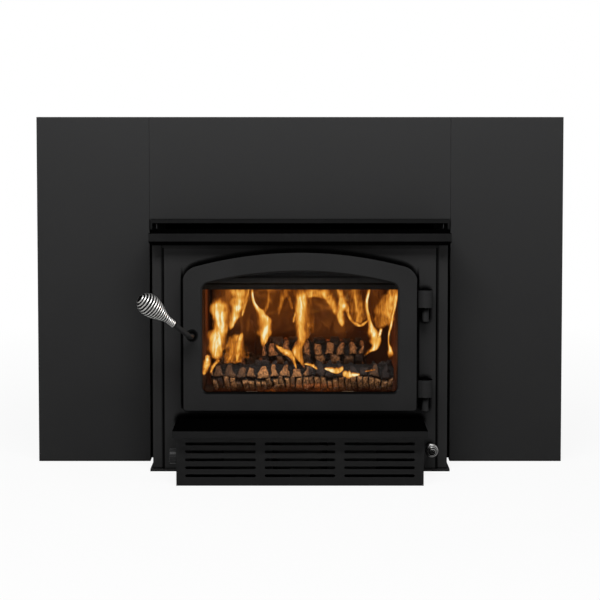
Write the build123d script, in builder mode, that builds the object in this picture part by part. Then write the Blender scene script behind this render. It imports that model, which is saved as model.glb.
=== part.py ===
from build123d import *
import math
import os

# Wood-burning fireplace insert, in millimetres.
# +Z is up and the front faces -Y. The origin is on the hearth, at the centre line,
# where the folded edges of the faceplate meet the wall.

os.makedirs("parts", exist_ok=True)

# Faceplate: three folded panels that close the masonry opening
face_width = 1117.6
face_height = 736.6
face_depth = 25.0
face_sheet = 1.5
panel_body_gap = 14.3
seam = 0.5
seam_bolt_inset = 48.0

# Casing: sheet shell around the firebox, with a room-air gap between them
body_front = 115.0
body_width = 612.0
body_depth_behind_wall = 390.0
taper_start = 200.0
back_width = 458.0
casing_sheet = 1.5
casing_gap_under_face = 0.3
column_return = 30.0
base_overhang = 5.5
base_thickness = 5.0
edge_break = 1.0

# Front plate and top ledge
plate = 5.0
front_plate_setback = 21.0
front_plate_top = 474.0
ledge_overhang = 5.0
ledge_projection = 22.0
ledge_height = 24.0
ledge_sheet = 3.0
ledge_bevel = 6.0
outlet_height = 13.0
outlet_frame_side = 4.5
outlet_frame_top = 7.3
outlet_frame_gap = 1.8
outlet_frame_sheet = 2.0

# Firebox
firebox_width = 486.0
firebox_floor_height = 107.0
firebox_length = 400.0
foot_width = 30.0
foot_inset = 60.0
mouth_width = 420.0
mouth_bottom = 158.0
mouth_top = 430.0
mouth_corner = 20.0

# Flue
flue_radius = 76.5
flue_wall = 7.0
flue_height = 65.0
flue_stop = 3.0
flue_set_back = 260.0
flue_flange = 14.0
flue_flange_thickness = 6.0
flue_casing_gap = 8.0

# Firebricks
brick = 30.0
brick_joint = 1.0
brick_clearance = 0.3
brick_height = 228.0
floor_brick_columns = 4
floor_brick_rows = 3
side_brick_count = 3
back_brick_count = 4
brick_front_setback = 17.0
brick_bevel = 2.0

# Baffle and secondary air
rail_width = 26.0
rail_height = 30.0
rail_bottom = 392.0
rail_wall = 2.0
rail_set_back = 20.0
rail_length = 290.0
tube_radius = 12.0
tube_wall = 1.5
tube_fit = 0.3
tube_insert = 9.0
tube_pitch = 80.0
tube_count = 3
first_tube_set_back = 70.0
tube_hole_radius = 2.5
tube_hole_count = 10
baffle_thickness = 18.0
baffle_side_gap = 1.0
baffle_front_gap = 20.0
blanket_thickness = 13.0
blanket_side_inset = 10.0
blanket_end_inset = 6.0
blanket_corner = 6.0

# Air wash behind the glass, its risers and the air duct under the floor
wash_end_gap = 7.0
wash_sheet = 2.0
wash_flange_top = 24.0
wash_flange_bottom = 6.0
wash_depth = 14.0
wash_drop = 24.0
wash_neck_set_in = 5.0
wash_neck_step = 4.0
wash_neck_height = 9.0
wash_lip_run = 6.0
wash_lip_drop = 2.5
wash_tip_run = 6.0
wash_tip_drop = 13.5
riser_width = 22.0
riser_depth = 16.0
riser_wall = 1.5
riser_gap = 2.0
riser_top = 440.0
duct_height = 41.0
duct_front_gap = 2.0
duct_depth = 100.0
duct_side_gap = 7.0
inlet_width = 40.0
inlet_from_end = 24.0

# Air control: rod, wound knob and damper plate
air_rod_beside_case = 21.5
air_rod_height = 56.0
air_rod_radius = 3.0
shaft_fit = 0.05
air_knob_stand_off = 15.0
air_rod_tail = 33.0
air_rod_past_neck = 2.0
damper_thickness = 2.2
damper_block = 14.0
damper_block_below = 3.0
guide_sheet = 2.0
slide_gap = 0.3
damper_length = 43.0
damper_overlap = 5.0

# Ash lip
lip_overhang = 6.0
lip_projection = 25.0
lip_height = 115.0
lip_sheet = 3.0
lip_fold = 13.0
lip_back_fold = 16.0

# Blower housing
case_width = 495.0
case_depth = 118.0
case_sheet = 1.5
case_top_gap = 0.3
louvre_rows = 5
louvre_columns = 3
louvre_pitch = 16.1
louvre_post = 18.0
louvre_margin = 18.0
louvre_slot = 6.0
louvre_first_height = 20.1
louvre_hood = 3.0

# Blower: one motor, two squirrel-cage wheels on one shaft
fan_height = 52.0
fan_ahead = 57.0
wheel_radius = 30.0
wheel_gap = 4.5
blade_depth = 6.0
blade_gap = 0.6
blade_thickness = 1.0
blade_count = 24
wheel_disc = 2.0
hub_radius = 8.0
hub_length = 24.0
scroll_growth = 10.0
scroll_sheet = 1.5
scroll_start = 56.0
scroll_length = 98.0
scroll_inlet_radius = 23.0
motor_radius = 36.0
motor_length = 90.0
motor_edge = 6.0
saddle_width = 40.0
saddle_depth = 54.0
motor_boss_radius = 12.0
motor_boss_fit = 0.3
fan_shaft_radius = 4.0

# Fan speed control
knob_radius = 15.5
knob_thickness = 15.0
knob_gap = 0.5
speed_height = 52.5
speed_ahead = 85.0
speed_shaft_radius = 3.0
speed_shaft_end_gap = 1.0
control_size = 24.0
control_depth = 28.8
knob_groove = 1.6
knob_grooves = 12
knob_edge = 1.2
pointer_length = 10.8
pointer_width = 1.6
pointer_height = 1.2

# Cord gland and thermal switch
gland_radius = 8.0
gland_bore = 4.0
gland_flange = 11.0
gland_flange_thickness = 3.0
gland_stub = 12.0
gland_ahead = 33.0
gland_height = 26.0
switch_from_plate_end = 24.0
switch_flange_width = 24.0
switch_flange_height = 16.0
switch_flange_thickness = 1.5
switch_radius = 7.0
switch_length = 8.0

# Door
door_width = 482.0
door_bottom = 133.4
door_top = 460.8
door_arch_radius = 825.0
door_top_corner = 38.0
door_bottom_corner = 9.0
door_front = 38.0
door_thickness = 26.0
door_edge_round = 2.5
rail = 40.5
opening_bottom_rail = 39.1
opening_top_corner = 16.0
opening_bottom_corner = 10.0
opening_bevel = 3.5
glass_margin = 9.5
glass_thickness = 5.0
glass_side_gap = 0.5
glass_front_lip = 12.0
tape_thickness = 3.0
rope_width = 10.0
rope_inset = 1.7
rope_groove = 4.0
rope_gap = 0.3
rope_corner = 1.5
tape_set_back = 1.0

# Glass clips
clip_width = 26.0
clip_base = 13.0
clip_finger = 6.0
clip_sheet = 3.0
clip_edge_gap = 1.5
clip_screw_offset = 7.0
clip_finger_inset = 2.0
clip_corner = 2.0
clip_above_door_bottom = 71.6
clip_below_door_top = 98.8
clip_centre_offset = 100.0

# Hinges
hinge_beside_door = 17.0
hinge_ahead = 20.0
hinge_lug_radius = 15.0
hinge_above_door_bottom = 27.1
hinge_below_door_top = 78.8
hinge_lug_length = 36.0
hinge_arm_shift = 2.0
hinge_arm_depth = 20.0
hinge_post_radius = 7.0
hinge_post_length = 28.5
hinge_pin_radius = 4.0
hinge_pin_short = 2.0
pin_chamfer = 0.8
hinge_gap = 0.3
hinge_lug_overlap = 5.0

# Door handle
handle_inset = 20.0
handle_height = 290.0
handle_rod_radius = 5.2
handle_stub = 27.0
handle_reach = 46.0
handle_bend = 14.0
handle_lift = 42.0
handle_lean = 22.0
handle_tip_radius = 4.1
handle_tip_length = 20.0
bushing_radius = 8.0
bushing_length = 19.0
bushing_flange = 1.5
bushing_recess = 12.5
bushing_recess_depth = 1.5

# Latch
cam_thickness = 4.0
cam_length = 30.0
cam_hub = 6.5
cam_tip = 6.0
catch_height = 19.0
catch_above_hub = 4.0
catch_tongue = 3.8
catch_width = 16.0
catch_gap = 0.3
catch_riser = 1.2
catch_base = 3.0

# Wound grips
grip_wire = 3.2
grip_belly_radius = 21.2
grip_neck_turns = 4.5
grip_neck_pitch = 3.9
grip_body_turns = 12.5
grip_flare = 58.0
grip_cap = 25.0
grip_end_radius = 5.5
knob_wire = 2.6
knob_belly_radius = 12.2
knob_neck_turns = 3.5
knob_neck_pitch = 3.3
knob_body_turns = 9.5
knob_flare = 26.0
knob_cap = 15.0
knob_end_radius = 4.2
grip_fit = 0.15
least_wire_gap = 0.4

# Logs and embers
log_clearance = 0.4
front_log = dict(x=5.0, behind=63.0, radius=32.0, length=376.0, belly=0.08)
rear_log = dict(x=-18.0, behind=168.0, radius=34.0, length=330.0, belly=0.06)
top_log = dict(x=28.0, radius=30.0, length=214.0, belly=0.12)
log_segment = 30.0
log_groove = 1.6
log_end_share = 0.82
log_sink = 6.0
ember_depth = 16.0
ember_width = 380.0
ember_front_gap = 4.0
ember_behind_log = 30.0
ember_corner = 30.0
ember_slope = 30.0

# Fasteners
bolt_radius = 2.5
bolt_hole_radius = 2.75
bolt_head_radius = 4.6
bolt_head_height = 2.8
nut_radius = 4.6
nut_height = 4.0
bolt_past_nut = 1.0
bracket_sheet = 2.0
bracket_height = 30.0
bracket_heights = (130.0, 420.0)
bracket_front_gap = 1.0
bracket_set_in = 3.0
bracket_depth = 18.0

# Worked out from the sizes above: widths
casing_half = body_width / 2
case_half = case_width / 2
back_half = back_width / 2
door_half = door_width / 2
panel_inner = casing_half + panel_body_gap
side_panel_width = face_width / 2 - panel_inner
front_plate_width = body_width - 2 * front_plate_setback
ledge_width = body_width + 2 * ledge_overhang
outlet_width = 2 * (panel_inner - outlet_frame_gap - outlet_frame_side)
firebox_inside = firebox_width / 2 - plate
riser_inner = firebox_inside - riser_gap - riser_width
wash_width = 2 * (riser_inner - wash_end_gap)
lip_width = case_width + 2 * lip_overhang
louvre_length = (case_width - 2 * louvre_margin + louvre_post) / louvre_columns - louvre_post
louvre_column_pitch = louvre_length + louvre_post
air_rod_x = case_half + air_rod_beside_case
hinge_x = door_half + hinge_beside_door
handle_x = door_half - handle_inset

# Worked out: depths, from the wall plane
front = -body_front
plate_back = front + plate
face_front = -face_depth
firebox_back = plate_back + firebox_length
flue_y = plate_back + flue_set_back
ledge_front = front - ledge_projection
brick_front = plate_back + brick_front_setback
lip_depth = case_depth + lip_projection
case_front = front - case_depth
fan_y = front - fan_ahead
speed_y = front - speed_ahead
gland_y = front - gland_ahead
door_face = front - door_front
door_back = door_face + door_thickness
hinge_y = front - hinge_ahead
glass_front = door_face + glass_front_lip + tape_thickness
glass_back = glass_front + glass_thickness

# Worked out: heights
ledge_top = front_plate_top + ledge_height
outlet_top = ledge_top + outlet_height
casing_top = outlet_top + outlet_frame_top
casing_side_top = casing_top - casing_sheet
face_cut_height = casing_top + casing_gap_under_face
firebox_top_height = ledge_top - ledge_sheet
firebox_floor_top = firebox_floor_height + plate
firebox_ceiling = firebox_top_height - plate
brick_floor_top = firebox_floor_top + brick
lip_underside = lip_height - lip_sheet
case_top = lip_underside - case_top_gap
hinge_lug_heights = (
    door_bottom + hinge_above_door_bottom,
    door_top - hinge_below_door_top - hinge_lug_length,
)
seam_bolt_heights = (face_cut_height + seam_bolt_inset, face_height - seam_bolt_inset)


def strip_outline(points, width):
    """Corners of a bent strip: along the points, then back on a line set over to the left."""
    steps = [(b[0] - a[0], b[1] - a[1]) for a, b in zip(points, points[1:])]
    normals = [(-dy / math.hypot(dx, dy), dx / math.hypot(dx, dy)) for dx, dy in steps]
    before = [normals[0]] + normals
    after = normals + [normals[-1]]
    inner = []
    for (x, y), (ax, ay), (bx, by) in zip(points, before, after):
        reach = width / (1 + ax * bx + ay * by)
        inner.append((x + reach * (ax + bx), y + reach * (ay + by)))
    return points + inner[::-1]


def door_outline(inset, bottom_inset, top_round, bottom_round):
    """Arched outline of the door, set in from its edge. The arch stays concentric."""
    half = door_half - inset
    low = door_bottom + bottom_inset
    arch = door_arch_radius - inset
    centre = door_top - door_arch_radius
    shoulder = centre + math.sqrt(arch ** 2 - half ** 2)
    with BuildSketch(mode=Mode.PRIVATE) as outline:
        with BuildLine():
            Polyline((-half, shoulder), (-half, low), (half, low), (half, shoulder))
            ThreePointArc((half, shoulder), (0, centre + arch), (-half, shoulder))
        make_face()
        fillet(outline.vertices().group_by(Axis.Y)[-1], top_round)
        fillet(outline.vertices().group_by(Axis.Y)[0], bottom_round)
    return outline.sketch


def opening_outline(grow):
    """Outline of the glass opening, grown outwards, with its corners grown to match."""
    return door_outline(
        rail - grow, opening_bottom_rail - grow, opening_top_corner + grow, opening_bottom_corner + grow
    )


def front_view(y):
    """Plane at depth y, seen from the front, its normal towards the room."""
    return Plane.XZ.offset(-y)


# Faceplate side panels: shallow trays with all four edges folded back to the wall
side_panel_x = face_width / 2 - side_panel_width / 2
bolt_row_y = -face_depth / 2
bracket_bolt_y = bolt_row_y - bracket_front_gap

with BuildPart() as faceplate_right:
    with Locations((side_panel_x, -face_depth / 2, face_height / 2)):
        Box(side_panel_width, face_depth, face_height)
    offset(
        amount=-face_sheet,
        openings=faceplate_right.faces().sort_by(Axis.Y)[-1],
    )
    with BuildSketch(Plane.YZ.offset(panel_inner - 1)):
        with Locations(*[(bolt_row_y, z) for z in seam_bolt_heights]):
            Circle(bolt_hole_radius)
        with Locations(*[(bracket_bolt_y, z) for z in bracket_heights]):
            Circle(bolt_hole_radius)
    extrude(amount=face_sheet + 2, mode=Mode.SUBTRACT)
faceplate_right.part.label = "faceplate_right"
export_step(faceplate_right.part, "parts/faceplate_right.step")

with BuildPart() as faceplate_left:
    mirror(faceplate_right.part, about=Plane.YZ)
faceplate_left.part.label = "faceplate_left"
export_step(faceplate_left.part, "parts/faceplate_left.step")

# Faceplate top panel: between the side panels, over the body
top_panel_width = 2 * (panel_inner - seam)
top_panel_height = face_height - face_cut_height

with BuildPart() as faceplate_top:
    with Locations((0, -face_depth / 2, face_cut_height + top_panel_height / 2)):
        Box(top_panel_width, face_depth, top_panel_height)
    offset(amount=-face_sheet, openings=faceplate_top.faces().sort_by(Axis.Y)[-1])
    with BuildSketch(Plane.YZ.offset(-panel_inner)):
        with Locations(*[(bolt_row_y, z) for z in seam_bolt_heights]):
            Circle(bolt_hole_radius)
    extrude(amount=2 * panel_inner, mode=Mode.SUBTRACT)
faceplate_top.part.label = "faceplate_top"
export_step(faceplate_top.part, "parts/faceplate_top.step")

# Brackets from the casing sides to the folded edges of the side panels
bracket_front = face_front + face_sheet + bracket_front_gap
bracket_outline = [
    (panel_inner, bracket_front),
    (panel_inner, -bracket_set_in),
    (casing_half + bracket_sheet, -bracket_set_in),
    (casing_half + bracket_sheet, bracket_depth),
    (casing_half, bracket_depth),
    (casing_half, -bracket_set_in - bracket_sheet),
    (panel_inner - bracket_sheet, -bracket_set_in - bracket_sheet),
    (panel_inner - bracket_sheet, bracket_front),
]

with BuildPart() as faceplate_brackets:
    for z in bracket_heights:
        with BuildSketch(Plane.XY.offset(z - bracket_height / 2)):
            with BuildLine():
                Polyline(*bracket_outline, close=True)
            make_face()
        extrude(amount=bracket_height)
    with BuildSketch(Plane.YZ.offset(panel_inner - bracket_sheet - 1)):
        with Locations(*[(bracket_bolt_y, z) for z in bracket_heights]):
            Circle(bolt_hole_radius)
    extrude(amount=bracket_sheet + 2, mode=Mode.SUBTRACT)
    mirror(about=Plane.YZ)
faceplate_brackets.part.label = "faceplate_brackets"
export_step(faceplate_brackets.part, "parts/faceplate_brackets.step")

# Bolts with nuts: two at each faceplate seam and one at each bracket
seam_grip = panel_inner - seam - face_sheet
bracket_grip = panel_inner - bracket_sheet
bolt_places = [(bolt_row_y, z, seam_grip, seam + 2 * face_sheet) for z in seam_bolt_heights]
bolt_places += [(bracket_bolt_y, z, bracket_grip, bracket_sheet + face_sheet) for z in bracket_heights]

with BuildPart() as faceplate_bolts:
    for y, z, start, grip in bolt_places:
        shank = grip + nut_height + bolt_past_nut
        with BuildSketch(Plane(origin=(start, y, z), z_dir=(1, 0, 0))):
            Circle(bolt_radius)
        extrude(amount=shank)
        with BuildSketch(Plane(origin=(start, y, z), z_dir=(-1, 0, 0))):
            Circle(bolt_head_radius)
        extrude(amount=bolt_head_height)
        with BuildSketch(Plane(origin=(start + grip, y, z), z_dir=(1, 0, 0))):
            RegularPolygon(nut_radius, 6)
        extrude(amount=nut_height)
    mirror(about=Plane.YZ)
faceplate_bolts.part.label = "faceplate_bolts"
export_step(faceplate_bolts.part, "parts/faceplate_bolts.step")

# Base plate: tapers towards the back of the masonry opening
base_half = casing_half + base_overhang

with BuildPart() as base_plate:
    with BuildSketch(Plane.XY):
        with BuildLine():
            Polyline(
                (-base_half, front),
                (base_half, front),
                (base_half, taper_start),
                (back_half + base_overhang, body_depth_behind_wall),
                (-back_half - base_overhang, body_depth_behind_wall),
                (-base_half, taper_start),
                close=True,
            )
        make_face()
    extrude(amount=base_thickness)
base_plate.part.label = "base_plate"
export_step(base_plate.part, "parts/base_plate.step")

# Casing sides: the front return is the corner column beside the front plate
side_line = [
    (casing_half - column_return, plate_back),
    (casing_half, plate_back),
    (casing_half, taper_start),
    (back_half, body_depth_behind_wall),
]

with BuildPart() as casing_right:
    with BuildSketch(Plane.XY.offset(base_thickness)):
        with BuildLine():
            Polyline(*strip_outline(side_line, casing_sheet), close=True)
        make_face()
    extrude(amount=casing_side_top - base_thickness)
    with BuildSketch(Plane.YZ.offset(casing_half - column_return - 1)):
        with Locations(((plate_back + face_front) / 2, (front_plate_top + casing_top) / 2)):
            Rectangle(face_front - plate_back, casing_top - front_plate_top)
    extrude(amount=column_return + 2, mode=Mode.SUBTRACT)
casing_right.part.label = "casing_right"
export_step(casing_right.part, "parts/casing_right.step")

with BuildPart() as casing_left:
    mirror(casing_right.part, about=Plane.YZ)
casing_left.part.label = "casing_left"
export_step(casing_left.part, "parts/casing_left.step")

casing_back_half = back_half - 2 * casing_sheet

with BuildPart() as casing_back:
    with BuildSketch(Plane.XZ.offset(-body_depth_behind_wall)):
        with Locations((0, (base_thickness + casing_side_top) / 2)):
            Rectangle(2 * casing_back_half, casing_side_top - base_thickness)
    extrude(amount=casing_sheet)
casing_back.part.label = "casing_back"
export_step(casing_back.part, "parts/casing_back.step")

with BuildPart() as casing_lid:
    with BuildSketch(Plane.XY.offset(casing_side_top)):
        with BuildLine():
            Polyline(
                (-casing_half, face_front),
                (casing_half, face_front),
                (casing_half, taper_start),
                (back_half, body_depth_behind_wall),
                (-back_half, body_depth_behind_wall),
                (-casing_half, taper_start),
                close=True,
            )
        make_face()
        with Locations((0, flue_y)):
            Circle(flue_radius + flue_wall + flue_casing_gap, mode=Mode.SUBTRACT)
    extrude(amount=casing_sheet)
casing_lid.part.label = "casing_lid"
export_step(casing_lid.part, "parts/casing_lid.step")

# Frame of the hot-air outlet, on the front edge of the casing lid
with BuildPart() as outlet_frame:
    with BuildSketch(Plane.XZ.offset(-face_front)):
        with Locations((0, (ledge_top + casing_top) / 2)):
            Rectangle(outlet_width + 2 * outlet_frame_side, casing_top - ledge_top)
        with Locations((0, (ledge_top + outlet_top) / 2)):
            Rectangle(outlet_width, outlet_height, mode=Mode.SUBTRACT)
    extrude(amount=outlet_frame_sheet)
outlet_frame.part.label = "outlet_frame"
export_step(outlet_frame.part, "parts/outlet_frame.step")

# Front plate: door mouth, two blower ports and the hole of the air rod
scroll_centre = scroll_start + scroll_length / 2
scroll_radius = wheel_radius + scroll_growth
port_width = scroll_length - 2 * scroll_sheet
port_low = fan_height - scroll_radius + scroll_sheet
port_high = fan_height - scroll_sheet
front_plate_height = front_plate_top - base_thickness

with BuildPart() as front_plate:
    with BuildSketch(Plane.XZ.offset(-plate_back)):
        with Locations((0, base_thickness + front_plate_height / 2)):
            Rectangle(front_plate_width, front_plate_height)
        with Locations((0, (mouth_bottom + mouth_top) / 2)):
            RectangleRounded(mouth_width, mouth_top - mouth_bottom, mouth_corner, mode=Mode.SUBTRACT)
        with Locations(*[(side * scroll_centre, (port_low + port_high) / 2) for side in (-1, 1)]):
            Rectangle(port_width, port_high - port_low, mode=Mode.SUBTRACT)
        with Locations((air_rod_x, air_rod_height)):
            Circle(air_rod_radius + shaft_fit, mode=Mode.SUBTRACT)
    extrude(amount=plate)
front_plate.part.label = "front_plate"
export_step(front_plate.part, "parts/front_plate.step")

# Top ledge: a hood channel with bevelled lower ends
ledge_length = face_front - ledge_front
ledge_mid = (front_plate_top + ledge_top) / 2

with BuildPart() as top_ledge:
    with BuildSketch(Plane.XZ.offset(-face_front)) as ledge_end:
        with Locations((0, ledge_mid)):
            Rectangle(ledge_width, ledge_height)
        chamfer(ledge_end.vertices().group_by(Axis.Y)[0], ledge_bevel)
    extrude(amount=ledge_length)
    chamfer(top_ledge.faces().sort_by(Axis.Y)[0].edges().sort_by(Axis.Z)[-1], edge_break)
    with BuildSketch(Plane.XZ.offset(-face_front)) as ledge_hollow:
        with Locations((0, ledge_mid)):
            Rectangle(ledge_width - 2 * ledge_sheet, ledge_height - 2 * ledge_sheet)
        chamfer(ledge_hollow.vertices().group_by(Axis.Y)[0], ledge_bevel - ledge_sheet / 2)
    extrude(amount=ledge_length - ledge_sheet, mode=Mode.SUBTRACT)
    with BuildSketch(Plane.XY.offset(front_plate_top)):
        with Locations((0, (plate_back + face_front) / 2 + 0.5)):
            Rectangle(ledge_width, face_front - plate_back + 1)
    extrude(amount=firebox_top_height - front_plate_top, mode=Mode.SUBTRACT)
top_ledge.part.label = "top_ledge"
export_step(top_ledge.part, "parts/top_ledge.step")

# Firebox, welded from plate
firebox_mid_y = plate_back + firebox_length / 2
riser_x = riser_inner + riser_width / 2

with BuildPart() as firebox_floor:
    with BuildSketch(Plane.XY.offset(firebox_floor_height)):
        with Locations((0, firebox_mid_y)):
            Rectangle(firebox_width, firebox_length)
        with Locations(*[(side * riser_x, plate_back + riser_depth / 2) for side in (-1, 1)]):
            Rectangle(riser_width - 2 * riser_wall, riser_depth - 2 * riser_wall, mode=Mode.SUBTRACT)
    extrude(amount=plate)
firebox_floor.part.label = "firebox_floor"
export_step(firebox_floor.part, "parts/firebox_floor.step")

firebox_wall_height = firebox_ceiling - firebox_floor_top

with BuildPart() as firebox_right:
    with BuildSketch(Plane.XY.offset(firebox_floor_top)):
        with Locations((firebox_width / 2 - plate / 2, firebox_mid_y)):
            Rectangle(plate, firebox_length)
    extrude(amount=firebox_wall_height)
firebox_right.part.label = "firebox_right"
export_step(firebox_right.part, "parts/firebox_right.step")

with BuildPart() as firebox_left:
    mirror(firebox_right.part, about=Plane.YZ)
firebox_left.part.label = "firebox_left"
export_step(firebox_left.part, "parts/firebox_left.step")

with BuildPart() as firebox_rear:
    with BuildSketch(Plane.XY.offset(firebox_floor_top)):
        with Locations((0, firebox_back - plate / 2)):
            Rectangle(2 * firebox_inside, plate)
    extrude(amount=firebox_wall_height)
firebox_rear.part.label = "firebox_rear"
export_step(firebox_rear.part, "parts/firebox_rear.step")

with BuildPart() as firebox_roof:
    with BuildSketch(Plane.XY.offset(firebox_ceiling)):
        with Locations((0, firebox_mid_y)):
            Rectangle(firebox_width, firebox_length)
        with Locations((0, flue_y)):
            Circle(flue_radius - flue_stop, mode=Mode.SUBTRACT)
    extrude(amount=plate)
firebox_roof.part.label = "firebox_roof"
export_step(firebox_roof.part, "parts/firebox_roof.step")

# Flue collar for a round liner
with BuildPart() as flue_collar:
    with BuildSketch(Plane.XY.offset(firebox_top_height)):
        with Locations((0, flue_y)):
            Circle(flue_radius + flue_wall)
            Circle(flue_radius, mode=Mode.SUBTRACT)
    extrude(amount=flue_height)
    with BuildSketch(Plane.XY.offset(firebox_top_height)):
        with Locations((0, flue_y)):
            Circle(flue_radius + flue_flange)
            Circle(flue_radius, mode=Mode.SUBTRACT)
    extrude(amount=flue_flange_thickness)
flue_collar.part.label = "flue_collar"
export_step(flue_collar.part, "parts/flue_collar.step")

# Rear feet carry the firebox on the base plate
foot_x = firebox_width / 2 - foot_inset
foot_y = firebox_back - foot_inset

with BuildPart() as firebox_feet:
    with BuildSketch(Plane.XY.offset(base_thickness)):
        with Locations((foot_x, foot_y), (-foot_x, foot_y)):
            Rectangle(foot_width, foot_width)
            Rectangle(foot_width - 2 * plate, foot_width - 2 * plate, mode=Mode.SUBTRACT)
    extrude(amount=firebox_floor_height - base_thickness)
firebox_feet.part.label = "firebox_feet"
export_step(firebox_feet.part, "parts/firebox_feet.step")

# Firebricks: floor, then sides and back standing on it
brick_back = firebox_back - plate - brick_clearance
brick_half = firebox_inside - brick_clearance
floor_pitch_x = (2 * brick_half + brick_joint) / floor_brick_columns
floor_pitch_y = (brick_back - brick_front + brick_joint) / floor_brick_rows

with BuildPart() as bricks_floor:
    with BuildSketch(Plane.XY.offset(firebox_floor_top)):
        with Locations((0, (brick_front + brick_back) / 2)):
            with GridLocations(floor_pitch_x, floor_pitch_y, floor_brick_columns, floor_brick_rows):
                Rectangle(floor_pitch_x - brick_joint, floor_pitch_y - brick_joint)
    extrude(amount=brick)
    chamfer(bricks_floor.faces().group_by(Axis.Z)[-1].edges(), brick_bevel)
bricks_floor.part.label = "bricks_floor"
export_step(bricks_floor.part, "parts/bricks_floor.step")

side_pitch = (brick_back - brick_front + brick_joint) / side_brick_count

back_brick_half = brick_half - brick - brick_clearance
back_pitch = (2 * back_brick_half + brick_joint) / back_brick_count

with BuildPart() as bricks_walls:
    with BuildSketch(Plane.XY.offset(brick_floor_top)):
        with Locations((brick_half - brick / 2, (brick_front + brick_back) / 2)):
            with GridLocations(0, side_pitch, 1, side_brick_count):
                Rectangle(brick, side_pitch - brick_joint)
    extrude(amount=brick_height)
    chamfer(bricks_walls.faces().filter_by(Axis.X).group_by(Axis.X)[0].edges(), brick_bevel)
    mirror(about=Plane.YZ)
    with BuildSketch(Plane.XY.offset(brick_floor_top)):
        with Locations((0, brick_back - brick / 2)):
            with GridLocations(back_pitch, 0, back_brick_count, 1):
                Rectangle(back_pitch - brick_joint, brick)
    rear_bricks = extrude(amount=brick_height)
    chamfer(rear_bricks.faces().filter_by(Axis.Y).group_by(Axis.Y)[0].edges(), brick_bevel)
bricks_walls.part.label = "bricks_walls"
export_step(bricks_walls.part, "parts/bricks_walls.step")

# Side rails: hollow channels that feed the air tubes and carry the baffle
rail_front = plate_back + rail_set_back
rail_back = rail_front + rail_length
rail_mid_y = rail_front + rail_length / 2
rail_mid_x = firebox_inside - rail_width / 2
rail_mid_z = rail_bottom + rail_height / 2
first_tube = plate_back + first_tube_set_back
tube_places = [first_tube + i * tube_pitch for i in range(tube_count)]

with BuildPart() as tube_rails:
    with Locations((rail_mid_x, rail_mid_y, rail_mid_z)):
        Box(rail_width, rail_length, rail_height)
        Box(
            rail_width - 2 * rail_wall,
            rail_length - 2 * rail_wall,
            rail_height - 2 * rail_wall,
            mode=Mode.SUBTRACT,
        )
    with BuildSketch(Plane.YZ.offset(firebox_inside - rail_width - 1)):
        with Locations(*[(y, rail_mid_z) for y in tube_places]):
            Circle(tube_radius + tube_fit)
    extrude(amount=rail_wall + 2, mode=Mode.SUBTRACT)
    mirror(about=Plane.YZ)
tube_rails.part.label = "tube_rails"
export_step(tube_rails.part, "parts/tube_rails.step")

tube_half = firebox_inside - rail_width + tube_insert
tube_hole_pitch = 2 * (tube_half - rail_width) / tube_hole_count

with BuildPart() as air_tubes:
    with BuildSketch(Plane.YZ.offset(-tube_half)):
        with Locations(*[(y, rail_mid_z) for y in tube_places]):
            Circle(tube_radius)
            Circle(tube_radius - tube_wall, mode=Mode.SUBTRACT)
    extrude(amount=2 * tube_half)
    with BuildSketch(front_view(rail_back)):
        with Locations((0, rail_mid_z)):
            with GridLocations(tube_hole_pitch, 0, tube_hole_count, 1):
                Circle(tube_hole_radius)
    extrude(amount=rail_length, mode=Mode.SUBTRACT)
air_tubes.part.label = "air_tubes"
export_step(air_tubes.part, "parts/air_tubes.step")

# Baffle: two boards on the rails, and a mineral blanket on them
baffle_low = rail_bottom + rail_height
baffle_half = firebox_inside - baffle_side_gap
baffle_front = rail_front + baffle_front_gap
baffle_length = rail_back - baffle_front

with BuildPart() as baffle_boards:
    with BuildSketch(Plane.XY.offset(baffle_low)):
        with Locations((0, baffle_front + baffle_length / 2)):
            with GridLocations(baffle_half, 0, 2, 1):
                Rectangle(baffle_half - brick_joint, baffle_length)
    extrude(amount=baffle_thickness)
baffle_boards.part.label = "baffle_boards"
export_step(baffle_boards.part, "parts/baffle_boards.step")

with BuildPart() as baffle_blanket:
    with BuildSketch(Plane.XY.offset(baffle_low + baffle_thickness)) as blanket_plan:
        with Locations((0, baffle_front + baffle_length / 2)):
            RectangleRounded(
                2 * (baffle_half - blanket_side_inset), baffle_length - 2 * blanket_end_inset, blanket_corner
            )
    extrude(amount=blanket_thickness)
    fillet(baffle_blanket.faces().sort_by(Axis.Z)[-1].edges(), blanket_thickness / 3)
baffle_blanket.part.label = "baffle_blanket"
export_step(baffle_blanket.part, "parts/baffle_blanket.step")

# Air-wash deflector behind the top of the glass, hung on the back of the front plate
wash_low = mouth_top - wash_drop
neck_y = plate_back + wash_depth - wash_neck_set_in
neck_top = wash_low - wash_neck_step
neck_low = neck_top - wash_neck_height
wash_lip_y = neck_y + wash_lip_run
wash_lip_z = neck_low - wash_lip_drop
wash_profile = [
    (plate_back, mouth_top + wash_flange_top),
    (plate_back, mouth_top + wash_flange_bottom),
    (plate_back + wash_depth, mouth_top),
    (plate_back + wash_depth, wash_low),
    (neck_y, neck_top),
    (neck_y, neck_low),
    (wash_lip_y, wash_lip_z),
    (wash_lip_y + wash_tip_run, wash_lip_z - wash_tip_drop),
]

with BuildPart() as wash_deflector:
    with BuildSketch(Plane.YZ.offset(-wash_width / 2)):
        with BuildLine():
            Polyline(*strip_outline(wash_profile, wash_sheet), close=True)
        make_face()
    extrude(amount=wash_width)
wash_deflector.part.label = "wash_deflector"
export_step(wash_deflector.part, "parts/wash_deflector.step")

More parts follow.
